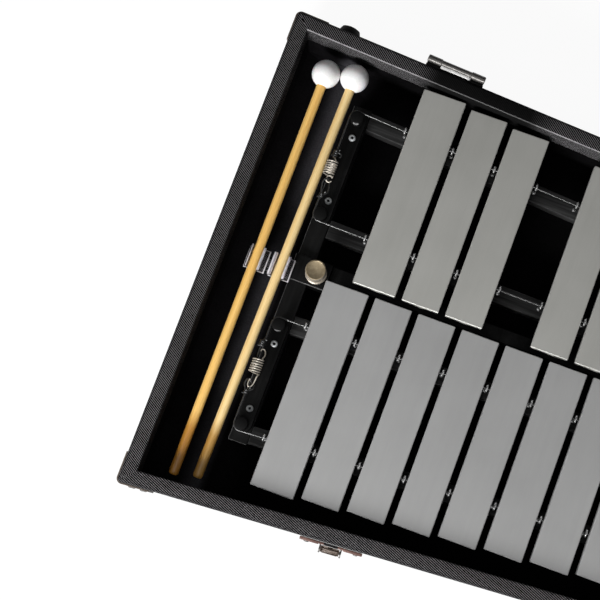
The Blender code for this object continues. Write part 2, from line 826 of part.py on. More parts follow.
def make_mallet(name, x, head_reach, turn):
    """A ball head on a birch stick. Both lift straight up out of the clip."""
    pivot = bpy.data.objects.new(name + "_lift", None)
    PARTS.objects.link(pivot)
    pivot.parent = ROOT
    pivot.location = (x, CLIP_CENTRE, STICK_HEIGHT)
    pivot.rotation_euler.z = turn
    head_y = head_reach - HEAD_RADIUS - CLIP_CENTRE
    mouth = STICK_RADIUS + CLEARANCE
    rim = math.sqrt(HEAD_RADIUS ** 2 - mouth ** 2)
    turns = 9
    last = math.pi - math.asin(mouth / HEAD_RADIUS)
    profile = [(0, HEAD_RADIUS)]
    for i in range(1, turns):
        angle = last * i / turns
        profile.append((HEAD_RADIUS * math.sin(angle), HEAD_RADIUS * math.cos(angle)))
    profile += [(mouth, -rim), (mouth, HEAD_BORE_DEPTH - rim), (0, HEAD_BORE_DEPTH - rim)]
    head = turned(name + "_head", profile, 18)
    head.rotation_euler.x = -math.pi / 2
    head.location.y = head_y
    keep(smooth(head), HEAD_WHITE, pivot)
    top = head_y + HEAD_BORE_DEPTH - rim - CLEARANCE
    length = MALLET_LENGTH - (HEAD_RADIUS + rim) + HEAD_BORE_DEPTH - CLEARANCE
    side_end = STICK_TIP_LENGTH - length
    shape = [(0, 0), (STICK_RADIUS, 0), (STICK_RADIUS, side_end), (STICK_TIP_RADIUS, -length), (0, -length)]
    stick = turned(name + "_stick", shape, 12)
    stick.rotation_euler.x = -math.pi / 2
    stick.location.y = top
    keep(smooth(stick), STICK_WOOD, pivot)


def clip_section():
    """Half circle round the stick, upright cheeks and lips that flare out."""
    radius = STICK_RADIUS + CLEARANCE + CLIP_WALL / 2
    bowl = arc((0, 0), radius, math.pi, 2 * math.pi, 8)
    left = [(-CLIP_LIP, CLIP_CHEEK + CLIP_LIP_RISE), (-radius, CLIP_CHEEK)]
    right = [(radius, CLIP_CHEEK), (CLIP_LIP, CLIP_CHEEK + CLIP_LIP_RISE)]
    return thick_path(left + bowl + right, CLIP_WALL)


def make_clips():
    """Two clips of clear plastic, each a lipped bowl on its own foot, with a thin link between the feet."""
    bottom = BRACKET_TOP + CLEARANCE
    size = (SECOND_CLIP_X - FIRST_CLIP_X, CLIP_LINK_WIDTH, CLIP_LINK_THICKNESS)
    clips = box("mallet_clips", size, (sum(CLIP_PLACES) / 2, CLIP_CENTRE, bottom + CLIP_LINK_THICKNESS / 2))
    for x in CLIP_PLACES:
        foot_size = (CLIP_FOOT_WIDTH, CLIP_LENGTH, CLIP_BASE)
        foot = box("clip_foot", foot_size, (x, CLIP_CENTRE, bottom + CLIP_BASE / 2))
        bowl = slab("clip_bowl", clip_section(), -CLIP_LENGTH / 2 + LAP / 2, CLIP_LENGTH / 2 - LAP / 2)
        bowl.rotation_euler.x = math.pi / 2
        bowl.location = (x, CLIP_CENTRE, STICK_HEIGHT)
        join(clips, foot, bowl)
    keep(clips, CLIP_CLEAR)


# Case tray

def tray_outline(inset, radius):
    """The tapered plan of the case, drawn in by a wall."""
    left, right = CASE_LEFT + inset, CASE_RIGHT - inset
    front = inset * math.hypot(1, FRONT_TAPER)
    back = inset * math.hypot(1, BACK_TAPER)
    corners = [
        (left, front_wall(left) + front),
        (right, front_wall(right) + front),
        (right, back_wall(right) - back),
        (left, back_wall(left) - back),
    ]
    return rounded(corners, [radius] * 4)


def handle_frame():
    return frame_on_wall("handle_pivot_frame", (CASE_MIDDLE, front_wall(CASE_MIDDLE)), FRONT_TAPER)


def make_tray(front_frame):
    tray = slab("case_tray", tray_outline(0, CASE_CORNER), 0, CASE_HEIGHT)
    cut(tray, slab("tray_hollow", tray_outline(WALL, 0), FLOOR_THICKNESS, CASE_HEIGHT + LAP))
    bevel(tray, RIM_ROUNDING, segments=2, angle=60)
    for side in (-1, 1):
        add_nut_block(tray, side)
        add_handle_lug(tray, side, front_frame)
    add_foot(tray, "left", CASE_LEFT + FOOT_INSET)
    add_foot(tray, "right", CASE_RIGHT - FOOT_INSET)
    keep(tray, CASE_COVER)


def add_nut_block(tray, side):
    """The block that a bracket rests on, drilled for the knob's stud."""
    x, y = knob_place(side)
    top, bottom = BRACKET_FOOT - CLEARANCE, FLOOR_THICKNESS - LAP
    size = (NUT_BLOCK_WIDTH, NUT_BLOCK_LENGTH, top - bottom)
    join(tray, box(f"nut_block_{side}", size, (x, y, (top + bottom) / 2)))
    middle = (x, y, FLOOR_THICKNESS + CASE_HEIGHT / 2)
    cut(tray, rod(f"nut_hole_{side}", STUD_HOLE, CASE_HEIGHT, middle, Z_AXIS, 16))


def add_foot(tray, tag, x):
    """A round foot on the back wall, for standing the case on edge."""
    profile = [
        (0, FOOT_RISE),
        (FOOT_TOP_RADIUS, FOOT_RISE - FOOT_CROWN),
        (FOOT_RADIUS - FOOT_SIDE_DRAFT, FOOT_SIDE_HEIGHT),
        (FOOT_RADIUS, 0),
        (FOOT_RADIUS, -ROOT_DEPTH),
        (0, -ROOT_DEPTH),
    ]
    foot = turned(f"foot_{tag}", profile, 12)
    foot.rotation_euler = (-math.pi / 2, 0, math.atan(BACK_TAPER))
    foot.location = (x, back_wall(x), CASE_HEIGHT - FOOT_DROP)
    join(tray, foot)


def add_handle_lug(tray, side, front_frame):
    """A rounded lug on the front wall, bored for one of the handle's pins."""
    reach = HANDLE_STAND_OFF + LUG_SIZE / 2 + ROOT_DEPTH
    x = side * (HANDLE_SPAN / 2 + HANDLE_RADIUS + HANDLE_SIDE_GAP + LUG_SIZE / 2)
    middle = (x, ROOT_DEPTH - reach / 2, HANDLE_PIVOT_HEIGHT)
    lug = box(f"handle_lug_{side}", (LUG_SIZE, reach, LUG_SIZE), middle)
    bevel(lug, LUG_EDGE, angle=60)
    join(tray, lug)
    place = (x, -HANDLE_STAND_OFF, HANDLE_PIVOT_HEIGHT)
    radius = HANDLE_PIN_RADIUS + PIVOT_CLEARANCE
    hole = rod(f"handle_bore_{side}", radius, LUG_SIZE + 2 * LAP, place, (1, 0, 0))
    cut(tray, hole)
    lug.parent = front_frame
    hole.parent = front_frame


# Hinge halves, latches and carrying handle on the outside of the case

def make_hinge(name, x):
    """The tray's half of a lift-off hinge: a leaf, two knuckles and the bare pin between them."""
    frame = frame_on_wall(name + "_frame", (x, back_wall(x)), BACK_TAPER)
    leaf_y = CLEARANCE + LEAF_THICKNESS / 2
    leaf_z = CASE_HEIGHT - LEAF_DROP - LEAF_HEIGHT / 2
    leaf = box(name, (HINGE_LENGTH, LEAF_THICKNESS, LEAF_HEIGHT), (0, leaf_y, leaf_z))
    offset = (HINGE_LENGTH - HINGE_KNUCKLE) / 2
    for side in (-1, 1):
        place = (side * offset, HINGE_STAND_OFF, CASE_HEIGHT)
        join(leaf, rod(f"{name}_knuckle_{side}", KNUCKLE_RADIUS, HINGE_KNUCKLE, place, (1, 0, 0), 16))
        size = (HINGE_KNUCKLE, HINGE_STAND_OFF - leaf_y, WEB_THICKNESS)
        middle = (side * offset, (leaf_y + HINGE_STAND_OFF) / 2, CASE_HEIGHT - KNUCKLE_RADIUS + WEB_RISE)
        join(leaf, box(f"{name}_web_{side}", size, middle))
    place = (0, HINGE_STAND_OFF, CASE_HEIGHT)
    join(leaf, rod(name + "_pin", HINGE_PIN_RADIUS, HINGE_LENGTH - HINGE_KNUCKLE, place, (1, 0, 0)))
    keep_on(leaf, frame, FITTING_CHROME)


def make_latch(tag, x):
    """A plate with two ears and a pin, and a lever that swings out on the pin."""
    frame = frame_on_wall(f"latch_frame_{tag}", (x, front_wall(x)), FRONT_TAPER)
    swing = bpy.data.objects.new(f"latch_lever_{tag}_axis", None)
    PARTS.objects.link(swing)
    swing.parent = frame
    axis_y = -CLEARANCE - LATCH_PLATE - LEVER_STAND_OFF - LEVER_THICKNESS / 2
    swing.location = (0, axis_y, CASE_HEIGHT - LATCH_DROP - LATCH_HEIGHT + LATCH_PIVOT_RISE)
    make_latch_plate(tag, frame, swing.location)
    make_latch_lever(tag, swing)


def make_latch_plate(tag, frame, axis):
    plate_y = -CLEARANCE - LATCH_PLATE / 2
    plate_z = CASE_HEIGHT - LATCH_DROP - LATCH_HEIGHT / 2
    plate = box(f"latch_plate_{tag}", (LATCH_LENGTH, LATCH_PLATE, LATCH_HEIGHT), (0, plate_y, plate_z))
    ear_x = LEVER_WIDTH / 2 + PIVOT_CLEARANCE + EAR_THICKNESS / 2
    for side in (-1, 1):
        size = (EAR_THICKNESS, plate_y - axis.y, 2 * EAR_RADIUS)
        middle = (side * ear_x, (axis.y + plate_y) / 2, axis.z)
        join(plate, box(f"latch_ear_{tag}_{side}", size, middle))
        place = (side * ear_x, axis.y, axis.z)
        join(plate, rod(f"latch_ear_end_{tag}_{side}", EAR_RADIUS, EAR_THICKNESS, place, (1, 0, 0), 16))
    length = 2 * ear_x + EAR_THICKNESS - 2 * LATCH_PIN_INSET
    join(plate, rod(f"latch_pin_{tag}", LATCH_PIN_RADIUS, length, axis, (1, 0, 0)))
    keep_on(plate, frame, FITTING_CHROME)


def make_latch_lever(tag, swing):
    half = LEVER_THICKNESS / 2
    top = LEVER_HEIGHT - half
    section = [(-half, 0), (-half, top - LEVER_TIP_LENGTH), (-LEVER_TIP_INSET, top), (half, top), (half, 0)]
    section += arc((0, 0), half, 0, -math.pi, 6)[1:-1]
    lever = slab(f"latch_lever_{tag}", section, -LEVER_WIDTH / 2, LEVER_WIDTH / 2)
    lever.location = (0, 0, 0)
    lever.rotation_euler = (math.pi / 2, 0, math.pi / 2)
    radius = LATCH_PIN_RADIUS + PIVOT_CLEARANCE
    cut(lever, rod(f"latch_bore_{tag}", radius, LEVER_WIDTH + 2 * LAP, (0, 0, 0), (1, 0, 0)))
    keep_on(lever, swing, FITTING_CHROME)


def make_handle(frame):
    """A bent grip on two pins. It hangs down against the case and swings up to be carried."""
    swing = bpy.data.objects.new("handle_axis", None)
    PARTS.objects.link(swing)
    swing.parent = frame
    swing.location = (0, -HANDLE_STAND_OFF, HANDLE_PIVOT_HEIGHT)
    half = HANDLE_SPAN / 2
    bend = HANDLE_BEND
    left = arc((-half + bend, bend - HANDLE_DROP), bend, math.pi, 1.5 * math.pi, 4)
    right = arc((half - bend, bend - HANDLE_DROP), bend, 1.5 * math.pi, 2 * math.pi, 4)
    path = [(-half, HANDLE_ARM_RISE)] + left + right + [(half, HANDLE_ARM_RISE)]
    grip = tube("handle", [(x, 0, z) for x, z in path], HANDLE_RADIUS, roundness=3)
    for side in (-1, 1):
        length = HANDLE_RADIUS + HANDLE_SIDE_GAP + HANDLE_PIN_LENGTH
        middle = (side * (half + length / 2), 0, 0)
        join(grip, rod(f"handle_pin_{side}", HANDLE_PIN_RADIUS, length, middle, (1, 0, 0)))
    keep_on(smooth(grip, 50), swing, HANDLE_BLACK)


def centre_on_origin():
    """Moves the whole object so that its box stands on the origin, centred in plan."""
    bpy.context.view_layer.update()
    graph = bpy.context.evaluated_depsgraph_get()
    low, high = Vector([math.inf] * 3), Vector([-math.inf] * 3)
    for item in PARTS.objects:
        if item.type != "MESH":
            continue
        evaluated = item.evaluated_get(graph)
        for corner in evaluated.bound_box:
            point = item.matrix_world @ Vector(corner)
            low = Vector(map(min, low, point))
            high = Vector(map(max, high, point))
    ROOT.location = (-(low.x + high.x) / 2, -(low.y + high.y) / 2, -low.z)


def build():
    make_row(NATURALS, natural_length, 0.0, -1, NATURAL_LINES, "natural")
    make_row(SHARPS, accidental_length, ROW_GAP, 1, ACCIDENTAL_LINES, "accidental")
    natural_eyes = eye_places([NATURALS])
    sharp_eyes = eye_places(SHARP_GROUPS)
    make_rail("natural_front_rail", natural_front_line, natural_eyes, -1)
    make_rail("natural_back_rail", natural_back_line, natural_eyes, 1)
    make_rail("accidental_front_rail", accidental_front_line, sharp_eyes, -1)
    make_rail("accidental_back_rail", accidental_back_line, sharp_eyes, 1)
    make_end_block("natural_end_block_left", LEFT_BOSS_X, *NATURAL_LINES)
    make_end_block("accidental_end_block_left", LEFT_BOSS_X, *ACCIDENTAL_LINES)
    make_base_board("base_board_left", -1)
    make_base_board("end_frame_right", 1)
    make_stretcher()
    make_knob("thumb_knob_left", -1)
    make_knob("thumb_knob_right", 1)
    make_cord("natural_cord", *NATURAL_LINES, NATURAL_SPRING_Y)
    make_cord("accidental_cord", *ACCIDENTAL_LINES, ACCIDENTAL_SPRING_Y)
    make_spring("natural_spring", NATURAL_SPRING_Y)
    make_spring("accidental_spring", ACCIDENTAL_SPRING_Y)
    make_mallet("mallet_1", FIRST_CLIP_X, FIRST_HEAD_REACH, 0.0)
    make_mallet("mallet_2", SECOND_CLIP_X, SECOND_HEAD_REACH, SECOND_MALLET_TURN)
    make_clips()
    front_frame = handle_frame()
    make_tray(front_frame)
    make_handle(front_frame)
    make_hinge("hinge_left", CASE_LEFT + HINGE_INSET)
    make_hinge("hinge_right", CASE_RIGHT - HINGE_INSET)
    make_latch("left", CASE_LEFT + LATCH_INSET)
    make_latch("right", CASE_RIGHT - LATCH_INSET)
    centre_on_origin()


build()
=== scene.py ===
"""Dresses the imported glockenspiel: finer geometry, procedural materials, soft light and the camera."""
import math

import bmesh
import bpy
from mathutils import Matrix, Vector


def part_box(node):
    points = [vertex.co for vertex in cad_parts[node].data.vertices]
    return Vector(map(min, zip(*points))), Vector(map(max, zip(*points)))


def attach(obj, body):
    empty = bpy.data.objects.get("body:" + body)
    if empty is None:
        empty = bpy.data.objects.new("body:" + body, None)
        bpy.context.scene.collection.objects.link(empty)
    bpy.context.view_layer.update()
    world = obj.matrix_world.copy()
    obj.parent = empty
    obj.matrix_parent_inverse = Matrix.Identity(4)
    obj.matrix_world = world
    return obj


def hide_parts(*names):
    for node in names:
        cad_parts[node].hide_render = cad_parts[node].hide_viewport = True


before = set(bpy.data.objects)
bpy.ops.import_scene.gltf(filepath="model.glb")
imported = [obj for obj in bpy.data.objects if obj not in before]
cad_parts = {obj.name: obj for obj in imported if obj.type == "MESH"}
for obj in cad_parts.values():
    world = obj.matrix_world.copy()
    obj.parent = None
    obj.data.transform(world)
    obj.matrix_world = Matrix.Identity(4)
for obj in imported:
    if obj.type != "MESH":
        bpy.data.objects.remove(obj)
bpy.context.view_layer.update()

BODY = "case"

# Sizes shared with the CAD, in metres
LOW_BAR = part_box("bar_F5")
OX, OY = LOW_BAR[0].x, LOW_BAR[1].y
ROW_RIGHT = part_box("bar_C8")[1].x - OX
BAR_GAP = 0.0065
NATURAL_LENGTH, ACCIDENTAL_LENGTH, LENGTH_TAPER = 0.1957, 0.1917, 0.09
NATURAL_CENTRE, ACCIDENTAL_CENTRE = 0.02035, 0.04285
ROW_GAP = 0.0064
RAIL_BOTTOM, RAIL_TOP, RAIL_WIDTH, RAIL_CORNER = 0.020, 0.035, 0.017, 0.0085
CORD_Z, CORD_RADIUS, CORD_BEND = 0.0555, 0.0011, 0.0064
LEFT_CORD, RIGHT_CORD = -0.0331, ROW_RIGHT + 0.0331
STRIP_INSET, STRIP_WIDTH, STRIP_THICKNESS = 0.008, 0.0145, 0.0105
BOARD_REACH, BOARD_WIDTH, BOARD_OVERHANG = 0.0361, 0.018, 0.0095
BRACKET_REACH, BRACKET_TOP = 0.0363, 0.040
BOARD_SHIFT = 0.0011
KNOB_INSET, KNOB_Y = 0.0124, 0.005
WALL, CASE_HEIGHT, FLOOR = 0.014, 0.072, 0.006
CASE_LEFT, CASE_RIGHT = -0.1109, ROW_RIGHT + 0.0695
FRONT_LEFT, BACK_LEFT = -0.2348, 0.2251
FRONT_TAPER, BACK_TAPER = 0.075, -0.061
STICK_Z, STICK_RADIUS, HEAD_RADIUS = 0.0475, 0.0045, 0.0133
FIRST_CLIP, SECOND_CLIP, CLIP_Y = -0.06895, -0.0449, -0.0012
NATURAL_SPRING_Y, ACCIDENTAL_SPRING_Y = -0.0950, 0.0992
GAP = 0.0003


def natural_length(x):
    return NATURAL_LENGTH - LENGTH_TAPER * (x - NATURAL_CENTRE)


def accidental_length(x):
    return ACCIDENTAL_LENGTH - LENGTH_TAPER * (x - ACCIDENTAL_CENTRE)


LINES = {
    "natural_front": lambda x: -0.773 * natural_length(x),
    "natural_back": lambda x: -0.231 * natural_length(x),
    "accidental_front": lambda x: ROW_GAP + 0.217 * accidental_length(x),
    "accidental_back": lambda x: ROW_GAP + 0.767 * accidental_length(x),
}


def front_wall(x):
    return FRONT_LEFT + FRONT_TAPER * (x - CASE_LEFT)


def back_wall(x):
    return BACK_LEFT + BACK_TAPER * (x - CASE_LEFT)


def at(x, y, z=0.0):
    """A point of the CAD's layout in the row frame."""
    return Vector((OX + x, OY + y, z))


# Camera, placed as the photograph was taken

def make_camera():
    lens_pixels, lean, nod, spin = 1617.33, -4.781, 7.374, 20.094
    forward = Vector((math.tan(math.radians(lean)), math.tan(math.radians(nod)), -1)).normalized()
    side = Vector((1, 0, 0))
    side = (side - forward * side.dot(forward)).normalized()
    over = side.cross(forward)
    turn = math.radians(spin)
    right = math.cos(turn) * side + math.sin(turn) * over
    up = -math.sin(turn) * side + math.cos(turn) * over
    data = bpy.data.cameras.new("camera")
    data.sensor_width = 36
    data.lens = lens_pixels * 36 / 600
    data.clip_end = 100
    camera = bpy.data.objects.new("camera", data)
    bpy.context.scene.collection.objects.link(camera)
    matrix = Matrix((right, up, -forward)).transposed().to_4x4()
    matrix.translation = at(0.10465, -0.2123, 1.5035)
    camera.matrix_world = matrix
    bpy.context.scene.camera = camera


make_camera()


# Materials

class Look:
    """A Principled material under construction."""

    def __init__(self, name, roughness=0.5, metallic=0.0):
        self.material = bpy.data.materials.new(name)
        self.material.use_nodes = True
        self.tree = self.material.node_tree
        self.shader = self.tree.nodes["Principled BSDF"]
        self.shader.inputs["Roughness"].default_value = roughness
        self.shader.inputs["Metallic"].default_value = metallic
        self.place = self.add("ShaderNodeTexCoord").outputs["Object"]

    def add(self, kind, inputs=None, **settings):
        made = self.tree.nodes.new(kind)
        for key, value in settings.items():
            setattr(made, key, value)
        for key, value in (inputs or {}).items():
            if isinstance(value, bpy.types.NodeSocket):
                self.tree.links.new(value, made.inputs[key])
            else:
                made.inputs[key].default_value = value
        return made

    def maths(self, operation, *values):
        return self.add("ShaderNodeMath", dict(enumerate(values)), operation=operation).outputs[0]

    def noise(self, scale, stretch=(1, 1, 1), detail=3.0, rough=0.5):
        place = self.add("ShaderNodeMapping", {"Vector": self.place, "Scale": stretch}).outputs[0]
        inputs = {"Vector": place, "Scale": scale, "Detail": detail, "Roughness": rough}
        return self.add("ShaderNodeTexNoise", inputs).outputs["Fac"]

    def wave(self, place, pitch, degrees):
        """Straight ripples from 0 to 1 across a flat place, their crests square to the given direction."""
        pace = 2 * math.pi / pitch
        along = self.maths("MULTIPLY", place.outputs[0], pace * math.cos(math.radians(degrees)))
        across = self.maths("MULTIPLY", place.outputs[1], pace * math.sin(math.radians(degrees)))
        ripple = self.maths("COSINE", self.maths("ADD", along, across))
        return self.maths("MULTIPLY_ADD", ripple, 0.5, 0.5)

    def ramp(self, factor, *stops):
        made = self.add("ShaderNodeValToRGB", {"Fac": factor})
        elements = made.color_ramp.elements
        while len(elements) < len(stops):
            elements.new(0.5)
        for element, (position, colour) in zip(elements, stops):
            element.position = position
            grey = isinstance(colour, (int, float))
            element.color = (colour, colour, colour, 1) if grey else (*colour, 1)
        return made.outputs["Color"]

    def mix(self, factor, first, second, blend="MIX"):
        inputs = {"Factor": factor, 6: first, 7: second}
        return self.add("ShaderNodeMix", inputs, data_type="RGBA", blend_type=blend).outputs[2]

    def bump(self, height, strength, distance):
        inputs = {"Height": height, "Strength": strength, "Distance": distance}
        made = self.add("ShaderNodeBump", inputs)
        self.tree.links.new(made.outputs[0], self.shader.inputs["Normal"])

    def feed(self, socket, value):
        self.tree.links.new(value, self.shader.inputs[socket])

    def fixed(self, **values):
        for key, value in values.items():
            self.shader.inputs[key.replace("_", " ")].default_value = value


def steel_look(name, dark, light):
    """Satin bar steel: soft streaks and fine brushing along the bar, cloudy tone, a few handling specks."""
    look = Look(name, metallic=0.35)
    streaks = look.noise(1.0, (230, 8, 60), 3.0)
    brushing = look.noise(1.0, (2600, 70, 700), 2.0)
    clouds = look.noise(16.0, detail=4.0)
    specks = look.noise(520.0, (1, 0.5, 1), 2.0, 0.7)
    tone = look.ramp(clouds, (0.3, dark), (0.7, light))
    colour = look.mix(1.0, tone, look.ramp(streaks, (0.3, 0.965), (0.7, 1.0)), "MULTIPLY")
    colour = look.mix(1.0, colour, look.ramp(brushing, (0.3, 0.97), (0.7, 1.0)), "MULTIPLY")
    look.feed("Base Color", look.mix(look.ramp(specks, (0.72, 0.0), (0.80, 0.3)), colour, (0.56, 0.56, 0.55, 1)))
    look.feed("Roughness", look.ramp(streaks, (0.25, 0.38), (0.75, 0.46)))
    look.bump(brushing, 0.05, 0.0002)
    return look.material


# Where a shadow is painted over the back rim's cover, as stops along X + 0.5
PAINTED_SHADOW_STRETCH = ((0.138, 0.0), (0.158, 0.97), (0.250, 0.97), (0.275, 0.0))


def painted_shadow_stretch(look):
    """From 0 to 1 where the painted shadow darkens the back rim."""
    where = look.add("ShaderNodeSeparateXYZ", {0: look.place})
    along = look.ramp(look.maths("ADD", where.outputs[0], 0.5), *PAINTED_SHADOW_STRETCH)
    return look.maths("MULTIPLY", along, look.maths("GREATER_THAN", where.outputs[1], 0.17))


def cover_look(name, peak):
    """Woven black vinyl: slanting rows of pale threads, broken by a second row, with worn patches, and a painted shadow
    over a stretch of the back rim.

    The threads follow the cloth attribute, which unrolls each wall's cover onto a flat plane in metres."""
    look = Look(name)
    cloth = look.add("ShaderNodeAttribute", attribute_name="cloth")
    place = look.add("ShaderNodeSeparateXYZ", {0: cloth.outputs["Vector"]})
    rows = look.maths("POWER", look.wave(place, 0.00165, 59), 7.0)
    breaks = look.ramp(look.wave(place, 0.00145, -9), (0.0, 0.55), (1.0, 1.0))
    height = look.maths("MULTIPLY", rows, breaks)
    wear_and_highlight_mottle = look.noise(55.0, detail=4.0)
    threads = look.ramp(height, (0.02, (0.0005, 0.0005, 0.0006)), (0.95, (peak, peak * 0.97, peak)))
    threads = look.mix(1.0, threads, look.ramp(wear_and_highlight_mottle, (0.3, 0.85), (0.7, 1.1)), "MULTIPLY")
    # The painted shadow turns the threads near-black over a stretch of the back rim
    look.feed("Base Color", look.mix(painted_shadow_stretch(look), threads, (0.004, 0.004, 0.004, 1)))
    look.feed("Roughness", look.ramp(height, (0.1, 0.8), (0.9, 0.5)))
    look.bump(height, 0.5, 0.0003)
    look.fixed(Specular_IOR_Level=0.02)
    return look.material


def cover_edge_highlight_look():
    """A pale line on the cover's inner edge, a painted highlight, under the same painted shadow on the back rim."""
    look = Look("cover_edge_painted_highlight", roughness=0.5)
    wear_and_highlight_mottle = look.noise(240.0, detail=4.0)
    pale = look.ramp(wear_and_highlight_mottle, (0.3, (0.11, 0.105, 0.11)), (0.7, (0.24, 0.235, 0.24)))
    look.feed("Base Color", look.mix(painted_shadow_stretch(look), pale, (0.004, 0.004, 0.004, 1)))
    return look.material


def black_wood_look(name, grain_stretch, dark, light, rubbed):
    """Black-painted wood with the grain just showing through and rubbed patches."""
    look = Look(name)
    grain = look.noise(1.0, grain_stretch, 5.0, 0.6)
    rubs = look.noise(38.0, detail=5.0, rough=0.65)
    base = look.ramp(grain, (0.32, dark), (0.72, light))
    look.feed("Base Color", look.mix(look.ramp(rubs, (0.56, 0.0), (0.76, 0.6)), base, (rubbed, rubbed, rubbed, 1)))
    look.feed("Roughness", look.ramp(rubs, (0.3, 0.40), (0.8, 0.58)))
    look.bump(grain, 0.25, 0.0003)
    look.fixed(Specular_IOR_Level=0.1)
    return look.material


# The lining's tone along X + 0.5: a painted pool of light between the sticks, painted shade under the bars
PAINTED_LIGHT_STRETCH = ((0.0600, 0.0), (0.0690, 0.6), (0.0770, 1.0), (0.0840, 0.0))
PAINTED_SHADE_STRETCH = ((0.095, 0.0), (0.115, 0.75))


def floor_panel_look():
    """The dull black flocked lining of the case, with painted light between the sticks and painted shade under the
    bars.
    """
    look = Look("black_flock_lining", roughness=0.95)
    fibres = look.noise(900.0, rough=0.7)
    dust = look.noise(30.0, detail=4.0)
    shade = look.ramp(fibres, (0.3, (0.0040, 0.0037, 0.0042)), (0.8, (0.0110, 0.0104, 0.0115)))
    along = look.maths("ADD", look.add("ShaderNodeSeparateXYZ", {0: look.place}).outputs[0], 0.5)
    wear_tone_and_painted_light = look.ramp(fibres, (0.3, (0.052, 0.050, 0.056)), (0.8, (0.100, 0.097, 0.108)))
    # Painted light between the sticks, then painted shade under the bars
    shade = look.mix(look.ramp(along, *PAINTED_LIGHT_STRETCH), shade, wear_tone_and_painted_light)
    shade = look.mix(look.ramp(along, *PAINTED_SHADE_STRETCH), shade, (0.001, 0.001, 0.001, 1))
    look.feed("Base Color", look.mix(1.0, shade, look.ramp(dust, (0.3, 0.8), (0.7, 1.2)), "MULTIPLY"))
    look.bump(fibres, 0.6, 0.0004)
    look.fixed(Specular_IOR_Level=0.02)
    return look.material


def wood_look(name, dark, light):
    """Varnished birch: long grain lines, fine pores, a slow change of tone and a painted shadow of the case's front
    wall over the grip end.
    """
    look = Look(name)
    grain = look.noise(1.0, (620, 9, 620), 4.0, 0.55)
    pores = look.noise(1.0, (2600, 90, 2600), 2.0)
    slow = look.noise(7.0, detail=2.0)
    base = look.ramp(grain, (0.28, dark), (0.68, light))
    colour = look.mix(1.0, base, look.ramp(pores, (0.35, 0.88), (0.6, 1.0)), "MULTIPLY")
    colour = look.mix(1.0, colour, look.ramp(slow, (0.3, 0.92), (0.7, 1.03)), "MULTIPLY")
    along = look.add("ShaderNodeSeparateXYZ", {0: look.place}).outputs[1]
    # Painted shadow of the case's front wall, darkening the grip end
    front_wall_painted_shadow = look.ramp(look.maths("ADD", along, 0.5), (0.335, (0.56, 0.41, 0.20)), (0.352, 1.0))
    look.feed("Base Color", look.mix(1.0, colour, front_wall_painted_shadow, "MULTIPLY"))
    look.feed("Roughness", look.ramp(grain, (0.3, 0.36), (0.7, 0.48)))
    look.bump(grain, 0.08, 0.0002)
    look.fixed(Coat_Weight=0.35, Coat_Roughness=0.3)
    return look.material


def head_look():
    """Glossy white ball with faint clouding and tiny scuffs."""
    look = Look("white_mallet_ball")
    clouds = look.noise(60.0)
    scuffs = look.noise(700.0, detail=2.0, rough=0.7)
    look.feed("Base Color", look.ramp(clouds, (0.3, (0.80, 0.79, 0.79)), (0.7, (0.86, 0.85, 0.85))))
    look.feed("Roughness", look.ramp(scuffs, (0.4, 0.22), (0.75, 0.4)))
    look.bump(scuffs, 0.03, 0.0002)
    look.fixed(Subsurface_Weight=0.08, Subsurface_Scale=0.003)
    return look.material


def metal_look(name, colour, roughness, metallic=1.0, scratch=0.12):
    """Plated metal with fine scratches, and a little tarnish."""
    look = Look(name, metallic=metallic)
    scratches = look.noise(900.0, rough=0.6)
    tarnish = look.noise(120.0, detail=4.0, rough=0.6)
    wear_tone_and_painted_light = tuple(c * 0.72 for c in colour)
    look.feed("Base Color", look.ramp(tarnish, (0.32, wear_tone_and_painted_light), (0.6, colour)))
    look.feed("Roughness", look.ramp(scratches, (0.25, max(roughness - 0.08, 0.05)), (0.75, roughness + 0.12)))
    look.bump(scratches, scratch, 0.0001)
    return look.material


def knob_look(name, centre):
    """Nickel-plated brass with fine turning rings round the knob's own axis."""
    look = Look(name, metallic=0.75)
    offset = look.add("ShaderNodeVectorMath", {0: look.place, 1: centre}, operation="SUBTRACT").outputs[0]
    flat = look.add("ShaderNodeVectorMath", {0: offset, 1: (1, 1, 0)}, operation="MULTIPLY").outputs[0]
    radius = look.add("ShaderNodeVectorMath", {0: flat}, operation="LENGTH").outputs["Value"]
    rings = look.maths("SINE", look.maths("MULTIPLY", radius, 2 * math.pi / 0.00042))
    tarnish = look.noise(230.0, detail=4.0, rough=0.65)
    tone = look.ramp(tarnish, (0.3, (0.28, 0.215, 0.13)), (0.65, (0.43, 0.35, 0.225)))
    shine = look.ramp(look.maths("MULTIPLY_ADD", rings, 0.5, 0.5), (0.0, 0.93), (1.0, 1.0))
    look.feed("Base Color", look.mix(1.0, tone, shine, "MULTIPLY"))
    look.feed("Roughness", look.ramp(tarnish, (0.3, 0.48), (0.7, 0.36)))
    look.bump(rings, 0.12, 0.00008)
    return look.material


def cord_look():
    """Glossy black braided cord, its strands in slanting ridges."""
    look = Look("braided_cord", roughness=0.24)
    strands = look.noise(1500.0, detail=1.0)
    look.feed("Base Color", look.ramp(strands, (0.35, 0.008), (0.65, 0.030)))
    look.bump(strands, 0.35, 0.0002)
    look.fixed(Specular_IOR_Level=0.6)
    return look.material


def clear_look(name, shade, clear):
    """Clear plastic with moulding haze, letting through the given share of light; the pale copy that lets little
    through is a painted highlight.
    """
    look = Look(name)
    haze = look.noise(260.0)
    look.feed("Base Color", look.ramp(haze, (0.3, (shade * 0.94, shade * 0.90, shade * 0.95)), (0.7, (shade, shade * 0.96, shade))))
    look.feed("Roughness", look.ramp(haze, (0.3, 0.08), (0.7, 0.15)))
    look.bump(haze, 0.01, 0.0002)
    look.fixed(Transmission_Weight=clear, IOR=1.25)
    return look.material


